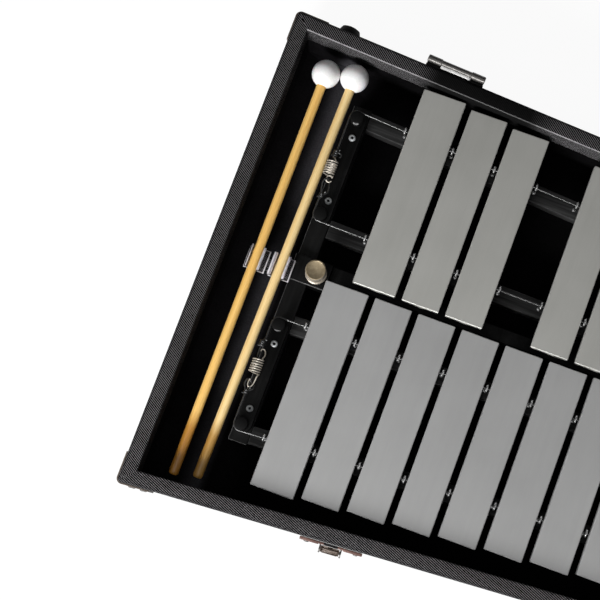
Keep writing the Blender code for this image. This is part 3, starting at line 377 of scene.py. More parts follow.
def rubber_look(name, shade, roughness=0.48):
    look = Look(name)
    grain = look.noise(1400.0, rough=0.6)
    dust = look.noise(90.0, detail=4.0)
    look.feed("Base Color", look.ramp(dust, (0.35, (shade, shade, shade)), (0.7, (shade * 1.7,) * 3)))
    look.feed("Roughness", look.ramp(grain, (0.3, roughness), (0.7, roughness + 0.2)))
    look.bump(grain, 0.25, 0.0002)
    look.fixed(Specular_IOR_Level=0.12)
    return look.material


STEEL = {
    "natural": steel_look("bar_steel_satin", (0.352, 0.352, 0.350), (0.388, 0.388, 0.386)),
    "accidental": steel_look("bar_steel_satin_warm", (0.392, 0.390, 0.366), (0.434, 0.432, 0.408)),
}
COVER = cover_look("woven_vinyl_cover", 0.335)
# A darker copy of the cover, painted shade: on the outer rounded edge, and on the inner faces of the front and side
# walls
SHADED_COVER = cover_look("woven_vinyl_outer_edge", 0.20)
COVER_EDGE_HIGHLIGHT = cover_edge_highlight_look()
RAILS = black_wood_look("black_rail_wood", (12, 420, 420), 0.003, 0.036, 0.030)
BLACK = black_wood_look("black_painted_wood", (300, 14, 300), 0.0010, 0.0060, 0.020)
# Lighter copies of the black wood for rounded edges facing the front lamp: painted highlights
RAIL_EDGE_HIGHLIGHT = black_wood_look("rail_edges_painted_highlight", (90, 90, 90), 0.015, 0.060, 0.09)
WOOD_EDGE_HIGHLIGHT = black_wood_look("wood_edges_painted_highlight", (90, 90, 90), 0.06, 0.20, 0.26)
BOSS = rubber_look("black_plastic_boss", 0.0016, 0.5)
# A lighter copy of the black painted wood for the boards' faces: painted light
BOARD = black_wood_look("dusty_board_wood", (300, 14, 300), 0.005, 0.012, 0.02)
FRAME = [BLACK, WOOD_EDGE_HIGHLIGHT, BOSS, BOARD]
LINING = floor_panel_look()
STICKS = (
    wood_look("birch_warm", (0.88, 0.50, 0.118), (0.98, 0.63, 0.195)),
    wood_look("birch_pale", (0.90, 0.61, 0.240), (0.98, 0.745, 0.36)),
)
HEAD = head_look()
CORD = cord_look()
SPRING = metal_look("spring_steel_wire", (0.56, 0.51, 0.44), 0.38, 0.55)
CHROME = metal_look("chromed_fitting", (0.52, 0.50, 0.49), 0.3, 0.6)
BRONZE = metal_look("tarnished_latch_plate", (0.15, 0.08, 0.065), 0.5, 0.3)
DULL = metal_look("dull_fitting_steel", (0.10, 0.095, 0.09), 0.4, 0.6)
LEVER = metal_look("worn_nickel_lever", (0.085, 0.062, 0.048), 0.45, 0.35)
NICKEL = metal_look("bright_knob_side", (0.40, 0.355, 0.29), 0.4, 0.5)
EYE = metal_look("plated_screw_eye", (0.74, 0.74, 0.74), 0.22)
SCREW = metal_look("zinc_screw", (0.52, 0.54, 0.55), 0.5, 0.3)
PROTECTOR = metal_look("dark_corner_steel", (0.10, 0.078, 0.062), 0.5, 0.3)
CLEAR = clear_look("clear_clip_plastic", 0.90, 0.98)
# A pale copy for the clips' lips and foot edges: painted highlight
LIT = clear_look("clear_clip_edges", 0.62, 0.1)
RUBBER = rubber_look("black_rubber_foot", 0.003)
GRIP = rubber_look("moulded_handle", 0.014)
# Near-black, painted shade in recesses: screw sockets and the latch's notch
RECESS = rubber_look("recess_painted_shade", 0.006)
# Near-black, painted shade: the hinge leaf, its webs and the dark strips along the barrels
HINGE_SHADE = rubber_look("blackened_leaf", 0.0016, 0.6)
STRAP = metal_look("bright_hinge_strap", (0.90, 0.89, 0.88), 0.35, 0.3, 0.06)


# Geometry helpers: each returns a bmesh, and build() makes the object

def moved(work, matrix):
    bmesh.ops.transform(work, matrix=matrix, verts=work.verts)
    return work


def painted(work, index):
    for face in work.faces:
        face.material_index = index
    return work


def block(low, high, edge=0.0006, segments=2, edge_material=-1):
    """A box between two corners with rounded edges, which may have a material of their own."""
    work = bmesh.new()
    bmesh.ops.create_cube(work, size=1.0)
    low, high = Vector(low), Vector(high)
    bmesh.ops.scale(work, vec=high - low, verts=work.verts)
    bmesh.ops.translate(work, vec=(low + high) / 2, verts=work.verts)
    bmesh.ops.bevel(work, geom=work.edges[:], offset=edge, segments=segments, affect="EDGES", profile=0.5,
                    material=edge_material)
    return work


def prism(outline, bottom, top, edge=0.0006, segments=2, edge_material=-1):
    """An upright prism over an outline, its top and bottom edges rounded."""
    work = bmesh.new()
    lower = work.faces.new([work.verts.new((x, y, bottom)) for x, y in outline])
    raised = bmesh.ops.extrude_face_region(work, geom=[lower])
    corners = [item for item in raised["geom"] if isinstance(item, bmesh.types.BMVert)]
    bmesh.ops.translate(work, vec=(0, 0, top - bottom), verts=corners)
    bmesh.ops.recalc_face_normals(work, faces=work.faces)
    flat = [e for e in work.edges if abs(e.verts[0].co.z - e.verts[1].co.z) < 1e-6]
    bmesh.ops.bevel(work, geom=flat, offset=edge, segments=segments, affect="EDGES", profile=0.5, material=edge_material)
    return work


def lit_edges(work, index=1):
    """Keep an edge's own material, a painted highlight, only on faces that look to the front or the left, towards the
    front lamp.
    """
    work.normal_update()
    for face in work.faces:
        if face.material_index == index and 0.6 * face.normal.x + face.normal.y > -0.2:
            face.material_index = 0
    return work


def turned(profile, steps=48):
    """A solid of revolution about Z from (radius, height) pairs, axis to axis."""
    work = bmesh.new()
    rings = []
    for radius, height in profile:
        if radius < 1e-7:
            rings.append([work.verts.new((0, 0, height))])
            continue
        angles = [2 * math.pi * i / steps for i in range(steps)]
        rings.append([work.verts.new((radius * math.cos(a), radius * math.sin(a), height)) for a in angles])
    for upper, lower in zip(rings, rings[1:]):
        for i in range(steps):
            j = (i + 1) % steps
            corners = [upper[i % len(upper)], upper[j % len(upper)], lower[j % len(lower)], lower[i % len(lower)]]
            distinct = list(dict.fromkeys(corners))
            if len(distinct) > 2:
                work.faces.new(distinct)
    bmesh.ops.recalc_face_normals(work, faces=work.faces)
    return work


def tube(points, radius, sides=12, closed=False):
    """A wire along points, its section carried along without twisting."""
    points = [Vector(p) for p in points]
    count = len(points)
    work = bmesh.new()
    rings = []
    side = None
    for i, point in enumerate(points):
        before = points[i - 1] if (i or closed) else point
        after = points[(i + 1) % count] if (i < count - 1 or closed) else point
        along = (after - before).normalized()
        if side is None:
            side = along.orthogonal().normalized()
        side = (side - along * side.dot(along)).normalized()
        up = along.cross(side)
        angles = [2 * math.pi * k / sides for k in range(sides)]
        rings.append([work.verts.new(point + radius * (side * math.cos(a) + up * math.sin(a))) for a in angles])
    pairs = list(zip(rings, rings[1:])) + ([(rings[-1], rings[0])] if closed else [])
    for first, second in pairs:
        for k in range(sides):
            j = (k + 1) % sides
            work.faces.new((first[k], first[j], second[j], second[k]))
    if not closed:
        work.faces.new(rings[0][::-1])
        work.faces.new(rings[-1])
    bmesh.ops.recalc_face_normals(work, faces=work.faces)
    return work


def smoothed(points, steps=6):
    """A Catmull-Rom curve through the points."""
    points = [Vector(p) for p in points]
    padded = [2 * points[0] - points[1]] + points + [2 * points[-1] - points[-2]]
    curve = []
    for a, b, c, d in zip(padded, padded[1:], padded[2:], padded[3:]):
        for i in range(steps):
            t = i / steps
            curve.append(0.5 * (2 * b + (c - a) * t + (2 * a - 5 * b + 4 * c - d) * t ** 2
                                + (3 * b - a - 3 * c + d) * t ** 3))
    curve.append(points[-1])
    return curve


def merge(*works):
    whole = bmesh.new()
    for work in works:
        mesh = bpy.data.meshes.new("part")
        work.to_mesh(mesh)
        work.free()
        whole.from_mesh(mesh)
        bpy.data.meshes.remove(mesh)
    return whole


def build(name, work, materials, body=BODY, stands_for=(), sharp=32):
    mesh = bpy.data.meshes.new(name)
    work.to_mesh(mesh)
    work.free()
    for material in (materials if isinstance(materials, (list, tuple)) else [materials]):
        mesh.materials.append(material)
    mesh.shade_smooth()
    mesh.set_sharp_from_angle(angle=math.radians(sharp))
    piece = bpy.data.objects.new(name, mesh)
    bpy.context.scene.collection.objects.link(piece)
    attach(piece, body)
    if stands_for:
        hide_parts(*stands_for)
    return piece


def arc(centre, radius, start, end, steps):
    turns = [start + (end - start) * i / steps for i in range(steps + 1)]
    return [(centre[0] + radius * math.cos(a), centre[1] + radius * math.sin(a)) for a in turns]


def rounded(corners, radii, steps=6):
    outline = []
    for i, (corner, radius) in enumerate(zip(corners, radii)):
        here = Vector(corner)
        if radius < 1e-5:
            outline.append(tuple(here))
            continue
        before = (Vector(corners[i - 1]) - here).normalized()
        after = (Vector(corners[(i + 1) % len(corners)]) - here).normalized()
        half = before.angle(after) / 2
        middle = here + (before + after).normalized() * radius / math.sin(half)
        first = here + before * radius / math.tan(half) - middle
        turn = first.angle_signed(here + after * radius / math.tan(half) - middle)
        start = math.atan2(first.y, first.x)
        outline += arc(middle, radius, start, start - turn, steps)
    return outline


def strip_outline(middle, thickness):
    """The outline of a bent strip along a flat line of points."""
    middle = [Vector(p) for p in middle]
    left, right = [], []
    for i, here in enumerate(middle):
        along = (middle[min(i + 1, len(middle) - 1)] - middle[max(i - 1, 0)]).normalized()
        across = Vector((-along.y, along.x)) * thickness / 2
        left.append(tuple(here + across))
        right.append(tuple(here - across))
    return left + right[::-1]


def layout(outline):
    return [(OX + x, OY + y) for x, y in outline]


def axis_matrix(place, direction):
    """Turns +Z to a direction and moves to a place."""
    return Matrix.Translation(place) @ Vector(direction).to_track_quat("Z", "Y").to_matrix().to_4x4()


def wall_frame(x, wall, slope, outward):
    """X along the wall, Y outwards, Z up, from a point on the wall's face."""
    along = Vector((1, slope, 0)).normalized()
    out = Vector((slope, -1, 0)).normalized() if outward < 0 else Vector((-slope, 1, 0)).normalized()
    matrix = Matrix((along, out, Vector((0, 0, 1)))).transposed().to_4x4()
    matrix.translation = at(x, wall(x))
    return matrix


def screw_head(radius, height, sides=6):
    """A pan-head screw about Z, material 0 for the head and 1 for a dark disc in the recess, painted shade."""
    bore = radius * 0.46
    floor = height * 0.35
    profile = [(0, floor), (bore, floor), (bore * 1.04, height * 0.98), (radius * 0.62, height)]
    profile += [(radius * 0.88, height * 0.72), (radius, height * 0.25), (radius, 0), (0, 0)]
    socket = turned([(0, floor + 0.0001), (bore * 0.97, floor + 0.0001), (bore * 0.97, 0.1 * height), (0, 0.1 * height)], sides)
    return merge(painted(turned(profile, 36), 0), painted(socket, 1))


def rivet_head(radius, height):
    return turned([(0, height), (radius * 0.58, height * 0.85), (radius * 0.95, height * 0.3), (radius, 0), (0, 0)], 24)


# Case tray

CORNER_STEPS = 6
CLOTH_TURNS = (3.7, 0.0, -4.5, 0.0)


def tray_loop(inset, radius):
    front = inset * math.hypot(1, FRONT_TAPER)
    back = inset * math.hypot(1, BACK_TAPER)
    left, right = CASE_LEFT + inset, CASE_RIGHT - inset
    corners = [(left, front_wall(left) + front), (right, front_wall(right) + front),
               (right, back_wall(right) - back), (left, back_wall(left) - back)]
    return layout(rounded(corners, [radius] * 4, CORNER_STEPS))


def tray_profile():
    """The tray's wall from its outer foot over the rim to the inner floor, as (inset, height) pairs."""
    outer, inner, cover = 0.0026, 0.0012, 0.0005
    lining_top = 0.0440
    turns = [math.pi / 2 * i / 5 for i in range(6)]
    steps = [(0.0008, 0.0), (0.0, 0.0008)]
    steps += [(outer * (1 - math.cos(a)), CASE_HEIGHT - outer * (1 - math.sin(a))) for a in turns]
    steps += [(WALL - inner * (1 - math.sin(a)), CASE_HEIGHT - inner * (1 - math.cos(a))) for a in turns]
    steps += [(WALL, lining_top + cover), (WALL - cover / 2, lining_top + cover / 4), (WALL - cover, lining_top)]
    return steps + [(WALL - cover, FLOOR + 0.0004), (WALL - cover / 2, FLOOR)]


def cloth_place(wall, x, y, unrolled):
    """Where a point of a wall lies on the unrolled cover, in metres."""
    front, back = Vector((1, FRONT_TAPER)).normalized(), Vector((1, BACK_TAPER)).normalized()
    across, along = ((front.dot((x, y)), unrolled), (-unrolled, y), (back.dot((x, y)), -unrolled), (unrolled, y))[wall]
    turn = math.radians(CLOTH_TURNS[wall])
    return Vector((across * math.cos(turn) + along * math.sin(turn), along * math.cos(turn) - across * math.sin(turn), 0))


def make_tray():
    steps = tray_profile()
    work = bmesh.new()
    cloth = work.loops.layers.float_vector.new("cloth")
    unrolled = [0.0]
    for (a, b), (c, d) in zip(steps, steps[1:]):
        unrolled.append(unrolled[-1] + math.hypot(c - a, d - b))
    loops = []
    for inset, height in steps:
        radius = max(0.0035 - inset, 0.0012)
        loops.append([work.verts.new((x, y, height)) for x, y in tray_loop(inset, radius)])
    count = len(loops[0])
    for level, (lower, upper) in enumerate(zip(loops, loops[1:])):
        for i in range(count):
            corner, step = divmod(i, CORNER_STEPS + 1)
            wall = (corner - 1) % 4 if step < CORNER_STEPS / 2 else corner
            j = (i + 1) % count
            face = work.faces.new((lower[i], lower[j], upper[j], upper[i]))
            face.material_index = 1 if steps[level + 1][1] < steps[-3][1] + 1e-6 and level > 5 else 0
            # The pale edge material, a painted highlight, on the back wall's rounded inner edge
            if wall == 2 and level in (9, 10, 11):
                face.material_index = 2
            # The darker cover copy, painted shade, on the outer rounded edge and the inner faces of the front and side
            # walls
            elif 2 < level < 7 or (level == 13 and wall != 2):
                face.material_index = 3
            for loop, rise in zip(face.loops, (level, level, level + 1, level + 1)):
                loop[cloth] = cloth_place(wall, loop.vert.co.x, loop.vert.co.y, unrolled[rise])
    underside = work.faces.new(loops[0][::-1])
    for loop in underside.loops:
        loop[cloth] = Vector((loop.vert.co.x, loop.vert.co.y, 0))
    work.faces.new(loops[-1]).material_index = 1
    build("tray_shell", work, [COVER, LINING, COVER_EDGE_HIGHLIGHT, SHADED_COVER], stands_for=("case_tray",), sharp=50)
    nuts = []
    for x in (-KNOB_INSET, ROW_RIGHT + KNOB_INSET):
        low = at(x - 0.0052, KNOB_Y - 0.010, FLOOR - 0.0005)
        nuts.append(block(low, at(x + 0.0052, KNOB_Y + 0.010, FLOOR + 0.0124), 0.0008))
    build("nut_blocks", merge(*nuts), BLACK)


def make_corner_guards():
    """Thin steel angles round the upright corners, just under the rim, with rivets in each leg."""
    reach, thick, low, high, bend_radius = 0.030, 0.0014, 0.034, 0.0685, 0.0038
    corners = ((CASE_LEFT, front_wall, -1), (CASE_RIGHT, front_wall, -1),
               (CASE_RIGHT, back_wall, 1), (CASE_LEFT, back_wall, 1))
    works, rivets = [], []
    for x, wall, side in corners:
        inward = 1 if x == CASE_LEFT else -1
        slope = FRONT_TAPER if side < 0 else BACK_TAPER
        run = Vector((inward, inward * slope)).normalized()
        out = Vector((0, side)) - run * run.dot((0, side))
        out.normalize()
        corner = Vector((x, wall(x)))
        aside, back = Vector((-inward, 0)), Vector((0, -side))
        middle = corner + (run + back) * bend_radius
        path = [corner + run * reach + out * thick / 2]
        for i in range(7):
            bend = (out * (6 - i) + aside * i).normalized()
            path.append(middle + bend * (bend_radius + thick / 2))
        path.append(corner + back * (reach - 0.002) + aside * thick / 2)
        works.append(prism(layout(strip_outline(path, thick)), low, high, 0.0002, 1))
        for place, normal in ((corner + run * 0.023, out), (corner + run * 0.012, out),
                              (corner + back * 0.021, aside), (corner + back * 0.011, aside)):
            for height in (low + 0.007, high - 0.007):
                spot = at(*(place + normal * thick), height)
                rivets.append(moved(rivet_head(0.0022, 0.0011), axis_matrix(spot, (*normal, 0))))
    build("corner_guards", merge(*works), PROTECTOR)
    build("corner_rivets", merge(*rivets), DULL)


def make_feet():
    for tag, x in (("left", CASE_LEFT + 0.050), ("right", CASE_RIGHT - 0.050)):
        matrix = wall_frame(x, back_wall, BACK_TAPER, 1)
        place = matrix @ Vector((0, 0, CASE_HEIGHT - 0.0145))
        out = matrix.to_3x3().col[1]
        profile = [(0, 0.0058), (0.0030, 0.0058), (0.0034, 0.0074), (0.0062, 0.0076), (0.0086, 0.0066),
                   (0.0098, 0.0040), (0.0101, 0.0008), (0.0101, 0.0), (0, 0.0)]
        foot = moved(turned(profile, 40), axis_matrix(place, out))
        build(f"foot_{tag}", foot, RUBBER)
        head = moved(screw_head(0.0027, 0.0012), axis_matrix(place + out * 0.0055, out))
        build(f"foot_screw_{tag}", head, [SCREW, RECESS])


# Frame: rails, eyes, end blocks, boards

def bar_edges():
    """The bars' left and right edges for each row, in the CAD's layout."""
    rows = {"natural": [], "accidental": []}
    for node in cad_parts:
        if node.startswith("bar_"):
            low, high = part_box(node)
            row = "accidental" if node[5] == "s" else "natural"
            rows[row].append((low.x - OX, high.x - OX))
    return {row: sorted(edges) for row, edges in rows.items()}


def eye_places(edges):
    places = [edges[0][0] - BAR_GAP / 2]
    for (left, right), after in zip(edges, edges[1:] + [None]):
        places.append(right + BAR_GAP / 2)
        if after and after[0] - right > 2 * BAR_GAP:
            places.append(after[0] - BAR_GAP / 2)
    return places


def screw_eye():
    """A screw eye about the cord: stem with a little collar, and an open ring in the YZ plane."""
    ring, wire, steps = 0.0032, 0.0009, 24
    middle = CORD_Z + ring - wire - CORD_RADIUS - GAP
    points = [(0, 0, RAIL_TOP - 0.002), (0, 0, middle - ring - 0.003), (0, 0, middle - ring - 0.0008)]
    sweep = 2 * math.pi - math.radians(30)
    for i in range(1, steps + 1):
        angle = -math.pi / 2 + sweep * i / steps
        points.append((0, ring * math.cos(angle), middle + ring * math.sin(angle)))
    collar = turned([(0, 0.0011), (0.0016, 0.0010), (0.0019, 0.0003), (0.0019, -0.0005), (0, -0.0005)], 16)
    return merge(tube(points, wire, 10), moved(collar, Matrix.Translation((0, 0, RAIL_TOP))))


def copies(work, places):
    mesh = bpy.data.meshes.new("one")
    work.to_mesh(mesh)
    work.free()
    whole = bmesh.new()
    for place in places:
        copy = mesh.copy()
        copy.transform(Matrix.Translation(place))
        whole.from_mesh(copy)
        bpy.data.meshes.remove(copy)
    bpy.data.meshes.remove(mesh)
    return whole


def make_rails():
    edges = bar_edges()
    left, right = -BOARD_REACH + BOARD_WIDTH + BOARD_SHIFT + GAP, ROW_RIGHT + BOARD_REACH - 0.0015
    for name, line in LINES.items():
        row, place = name.split("_")
        outer = -1 if place == "front" else 1
        half = RAIL_WIDTH / 2 * math.hypot(1, line(1.0) - line(0.0))
        corners = [(left, line(left) - half), (right, line(right) - half),
                   (right, line(right) + half), (left, line(left) + half)]
        radii = [0, RAIL_CORNER if outer < 0 else 0, RAIL_CORNER if outer > 0 else 0, 0]
        # The rail's rounded edges take the rail edge material, a painted highlight, which lit_edges keeps on the front
        # and left
        rail = prism(layout(rounded(corners, radii, 8)), RAIL_BOTTOM, RAIL_TOP, 0.0006, edge_material=1)
        build(f"{name}_board", lit_edges(rail), [RAILS, RAIL_EDGE_HIGHLIGHT], stands_for=(f"{name}_rail",))
        eyes = copies(screw_eye(), [at(x, line(x)) for x in eye_places(edges[row])])
        build(f"{name}_eyes", eyes, EYE)


def boss_centre(x, line, side):
    """The centre of the boss that turns the cord from a rail's line, in from x, the cord's own line."""
    slope = line(1.0) - line(0.0)
    inward = CORD_BEND if x < 0 else -CORD_BEND
    return x + inward, line(x + inward) + side * CORD_BEND * math.hypot(1, slope)


def end_block_works(cord_x, front_line, back_line):
    """The strip under a cord's end run, with a spool-shaped boss near each end."""
    centre = cord_x + (STRIP_INSET if cord_x < 0 else -STRIP_INSET)
    places = [boss_centre(cord_x, front_line, 1), boss_centre(cord_x, back_line, -1)]
    half = STRIP_WIDTH / 2
    front, back = front_line(centre) + 0.0008, back_line(centre) - 0.0008
    corners = [(centre - half, front), (centre + half, front), (centre + half, back), (centre - half, back)]
    bottom = RAIL_TOP + GAP
    top = bottom + STRIP_THICKNESS
    works = [prism(layout(rounded(corners, [0.007] * 4, 8)), bottom, top, 0.0005)]
    neck, cap, base = CORD_BEND - CORD_RADIUS - 0.0001, 0.0061, 0.0060
    spool = [(0, CORD_Z + 0.0034), (cap - 0.0010, CORD_Z + 0.0034), (cap - 0.0003, CORD_Z + 0.0031),
             (cap, CORD_Z + 0.0025), (cap, CORD_Z + 0.0018), (cap - 0.0004, CORD_Z + 0.0014),
             (neck, CORD_Z + 0.0011), (neck, CORD_Z - 0.0013), (base, CORD_Z - 0.0019), (base, top - 0.001),
             (0, top - 0.001)]
    for place in places:
        boss = painted(turned(spool, 40), 2)
        boss.normal_update()
        for face in boss.faces:
            # On the back boss the chamfer facing the front takes the edge material: a painted highlight
            towards = 0.15 * face.normal.x - 0.99 * face.normal.y
            if place is places[1] and 0.2 < face.normal.z < 0.8 and towards > 0.87 * face.normal.xy.length:
                face.material_index = 1
        works.append(moved(lit_edges(boss), Matrix.Translation(at(*place))))
    return works


def make_end_blocks():
    lines = LINES["natural_front"], LINES["natural_back"], LINES["accidental_front"], LINES["accidental_back"]
    rows = (("natural", lines[:2]), ("accidental", lines[2:]))
    top = RAIL_TOP + GAP + STRIP_THICKNESS
    heads = []
    for row, (front, back) in rows:
        build(f"{row}_strip_left", merge(*end_block_works(LEFT_CORD, front, back)), FRAME,
              stands_for=(f"{row}_end_block_left",))
        for x in (LEFT_CORD + STRIP_INSET, RIGHT_CORD - STRIP_INSET):
            for y in (front(x) + 0.0222, back(x) - 0.0233):
                heads.append(moved(screw_head(0.00325, 0.0020), Matrix.Translation(at(x, y, top))))
    build("strip_screws", merge(*heads), [SCREW, RECESS])


def make_boards():
    low, high = FLOOR + GAP, RAIL_BOTTOM - GAP
    for name, side, node in (("left", -1, "base_board_left"), ("right", 1, "end_frame_right")):
        edge = 0.0 if side < 0 else ROW_RIGHT
        x = edge + side * (BOARD_REACH - BOARD_WIDTH / 2)
        front = LINES["natural_front"](x) - BOARD_OVERHANG
        back = LINES["accidental_back"](x) + BOARD_OVERHANG
        outer = edge + side * BRACKET_REACH
        first, last = sorted((edge, outer))
        top, inward = (RAIL_TOP, BOARD_SHIFT) if side < 0 else (high, 0)
        board = block(at(x - BOARD_WIDTH / 2 + inward, front, low), at(x + BOARD_WIDTH / 2 + inward, back, top), 0.0006, 2, 1)
        # The board's faces take the lighter board wood, painted light; its rounded edges keep the painted edge
        # highlight
        for face in board.faces:
            if face.material_index == 0:
                face.material_index = 3
        works = [board,
                 block(at(first, -0.0075, high - 0.001), at(last, 0.0175, BRACKET_TOP), 0.0006, 2, 1)]
        if side < 0:
            works.append(block(at(-0.07835, -0.0082, high - 0.001), at(outer + 0.001, 0.0058, BRACKET_TOP), 0.0005, 2, 1))
        else:
            for row in ("natural", "accidental"):
                lines = LINES[f"{row}_front"], LINES[f"{row}_back"]
                middle = sum(line(x) for line in lines) / 2
                strip = RIGHT_CORD - STRIP_INSET
                works += end_block_works(RIGHT_CORD, *lines)
                works.append(block(at(strip - 0.006, middle - 0.020, high - 0.001),
                                   at(strip + 0.006, middle + 0.020, RAIL_TOP + 0.001), 0.0006))
        build(f"end_board_{name}", lit_edges(merge(*works)), FRAME, stands_for=(node,))


# Knobs

def make_knobs():
    base, height, radius, collar, neck, flange = BRACKET_TOP + GAP, 0.021, 0.0095, 0.0088, 0.0079, 0.0101
    stud_foot = FLOOR + 0.0015 - base
    profile = [(0, height - 0.0003), (radius - 0.0017, height - 0.0003), (radius - 0.0012, height),
               (radius - 0.0004, height - 0.0002), (radius, height - 0.0008),
               (radius, 0.0125), (radius - 0.0003, 0.0121), (radius, 0.0117), (radius, 0.0104), (radius - 0.0006, 0.0097),
               (neck, 0.0092), (neck, 0.0082), (collar - 0.0004, 0.0076), (collar, 0.0070), (collar, 0.0030),
               (flange - 0.0005, 0.0027), (flange, 0.0022), (flange, 0.0004), (flange - 0.0004, 0.0),
               (0.003, 0.0), (0.003, stud_foot), (0, stud_foot)]
    for tag, x in (("left", -KNOB_INSET), ("right", ROW_RIGHT + KNOB_INSET)):
        place = at(x, KNOB_Y, base)
        knob = turned(profile, 72)
        for face in knob.faces:
            face.material_index = 0 if face.calc_center_median().z > height - 0.00035 else 1
        build(f"knob_{tag}", moved(knob, Matrix.Translation(place)), [knob_look(f"turned_nickel_{tag}", place), NICKEL],
              body=f"knob_{tag}", stands_for=(f"thumb_knob_{tag}",), sharp=40)


# Cords and springs. Hooks and loops are (sideways, along, height) points from the coil's centre, in millimetres.

COIL_TURNS, COIL_PITCH, COIL_RADIUS, WIRE_RADIUS = 6, 0.0022, 0.0050, 0.00058
SPRINGS = {
    "natural": {
        "y": NATURAL_SPRING_Y, "aside": 0.0008,
        "upper_hook": [(4.0, 7.8, 3.0), (4.8, 10.4, 1.6), (4.7, 13.0, 0.6), (3.6, 15.4, 0.1), (1.6, 16.6, 0.1),
                       (0.1, 15.6, 0.3), (-0.2, 14.0, 0.6)],
        "lower_hook": [(4.8, -8.6, 2.0), (4.5, -12.0, 1.0), (3.9, -15.6, 0.3), (2.9, -18.4, 0.1), (1.0, -19.8, 0.1),
                       (-0.6, -18.4, 0.3), (-0.8, -15.4, 0.6), (-0.2, -12.6, 1.1)],
        "upper_knot": (-1.4, 21.4, 0.6), "lower_knot": (0.1, -24.0, 0.0),
        "upper_loop": [(-1.4, 20.8, 1.4), (-1.6, 18.2, 1.5), (-1.7, 15.0, 1.4), (-1.5, 11.4, 1.6), (-1.2, 8.4, 2.6)],
        "lower_loop": [(-0.2, -23.2, 0.4), (-2.6, -20.4, 0.7), (-3.3, -16.8, 1.0), (-2.6, -13.6, 1.4), (-0.6, -12.8, -0.6),
                       (1.6, -14.6, -1.6), (5.0, -17.8, -1.3), (5.2, -20.2, -0.6), (2.6, -22.4, -0.2), (0.4, -23.4, -0.2)],
    },
    "accidental": {
        "y": ACCIDENTAL_SPRING_Y, "aside": 0.0,
        "upper_hook": [(2.4, 7.6, 4.0), (0.8, 9.4, 2.6), (-0.9, 10.6, 1.0), (-1.5, 12.2, 0.2), (-0.6, 13.6, 0.1),
                       (0.8, 12.6, 0.3)],
        "lower_hook": [(5.0, -7.2, 2.0), (4.6, -8.4, 1.9), (3.2, -7.0, 2.0), (1.0, -7.6, 1.9), (-0.2, -9.8, 1.2),
                       (0.8, -12.4, 0.4), (3.2, -13.0, 0.2), (5.0, -11.2, 0.4)],
        "upper_knot": (-0.2, 14.6, 0.3), "lower_knot": (0.6, -26.4, 0.0),
        "upper_loop": [(0.2, 14.4, 1.2), (2.0, 15.6, 1.2), (4.4, 15.2, 1.0), (5.4, 13.0, 0.9), (4.0, 11.6, 0.9)],
        "lower_loop": [(0.6, -25.6, 0.3), (-0.6, -22.4, 0.6), (-1.7, -17.6, 0.9), (-1.8, -13.2, 1.6), (0.6, -10.8, 2.6),
                       (3.2, -11.2, -1.0), (4.2, -14.4, -1.0), (5.4, -19.0, -0.6), (5.0, -22.8, -0.3), (1.8, -25.8, 0.0)],
    },
}


def cord_points(front_line, back_line, first_y, last_y):
    tilt_front = math.atan(front_line(1.0) - front_line(0.0))
    tilt_back = math.atan(back_line(1.0) - back_line(0.0))
    turns = ((boss_centre(LEFT_CORD, front_line, 1), math.pi, 1.5 * math.pi + tilt_front),
             (boss_centre(RIGHT_CORD, front_line, 1), -math.pi / 2 + tilt_front, 0.0),
             (boss_centre(RIGHT_CORD, back_line, -1), 0.0, math.pi / 2 + tilt_back),
             (boss_centre(LEFT_CORD, back_line, -1), math.pi / 2 + tilt_back, math.pi))
    flat = [(LEFT_CORD, first_y)]
    for centre, start, end in turns:
        flat += arc(centre, CORD_BEND, start, end, 14)
    flat.append((LEFT_CORD, last_y))
    return flat


def dense(points, step=0.012):
    """Extra points along the long straight runs, so that the section stays true."""
    filled = []
    for a, b in zip(points, points[1:]):
        count = max(1, int((b - a).length / step))
        filled += [a.lerp(b, i / count) for i in range(count)]
    filled.append(points[-1])
    return filled


def knot(place, size=0.0019, turns=2.6, length=0.0046):
    """A small barrel knot along Y: the cord wound round itself, with a short tail at each end."""
    per_turn = 14
    points = [place + Vector((-0.0032, -0.0026, 0.0006))]
    for i in range(int(turns * per_turn) + 1):
        angle = 2 * math.pi * i / per_turn
        shift = (i / per_turn / turns - 0.5) * length
        points.append(place + Vector((size * math.cos(angle), shift, size * math.sin(angle))))
    points.append(place + Vector((0.0030, 0.0040, 0.0004)))
    return tube(smoothed(points, 2), CORD_RADIUS * 0.75, 8)


def spring_wire(centre, plan):
    """A close coil along Y with a hook at each end, as one wire."""
    per_turn = 28
    half = COIL_TURNS * COIL_PITCH / 2
    coil = []
    for i in range(COIL_TURNS * per_turn + 1):
        angle = math.pi * 0.42 + 2 * math.pi * i / per_turn
        turn = Vector((COIL_RADIUS * math.sin(angle), COIL_PITCH * i / per_turn - half, COIL_RADIUS * math.cos(angle)))
        coil.append(centre + turn + Vector((plan["aside"], 0, 0)))
    upper = [centre + Vector(p) / 1000 for p in plan["upper_hook"]]
    lower = [centre + Vector(p) / 1000 for p in plan["lower_hook"]]
    points = smoothed(lower[::-1] + [coil[0]], 6)[:-1] + coil + smoothed([coil[-1]] + upper, 6)[1:]
    return tube(points, WIRE_RADIUS, 10)


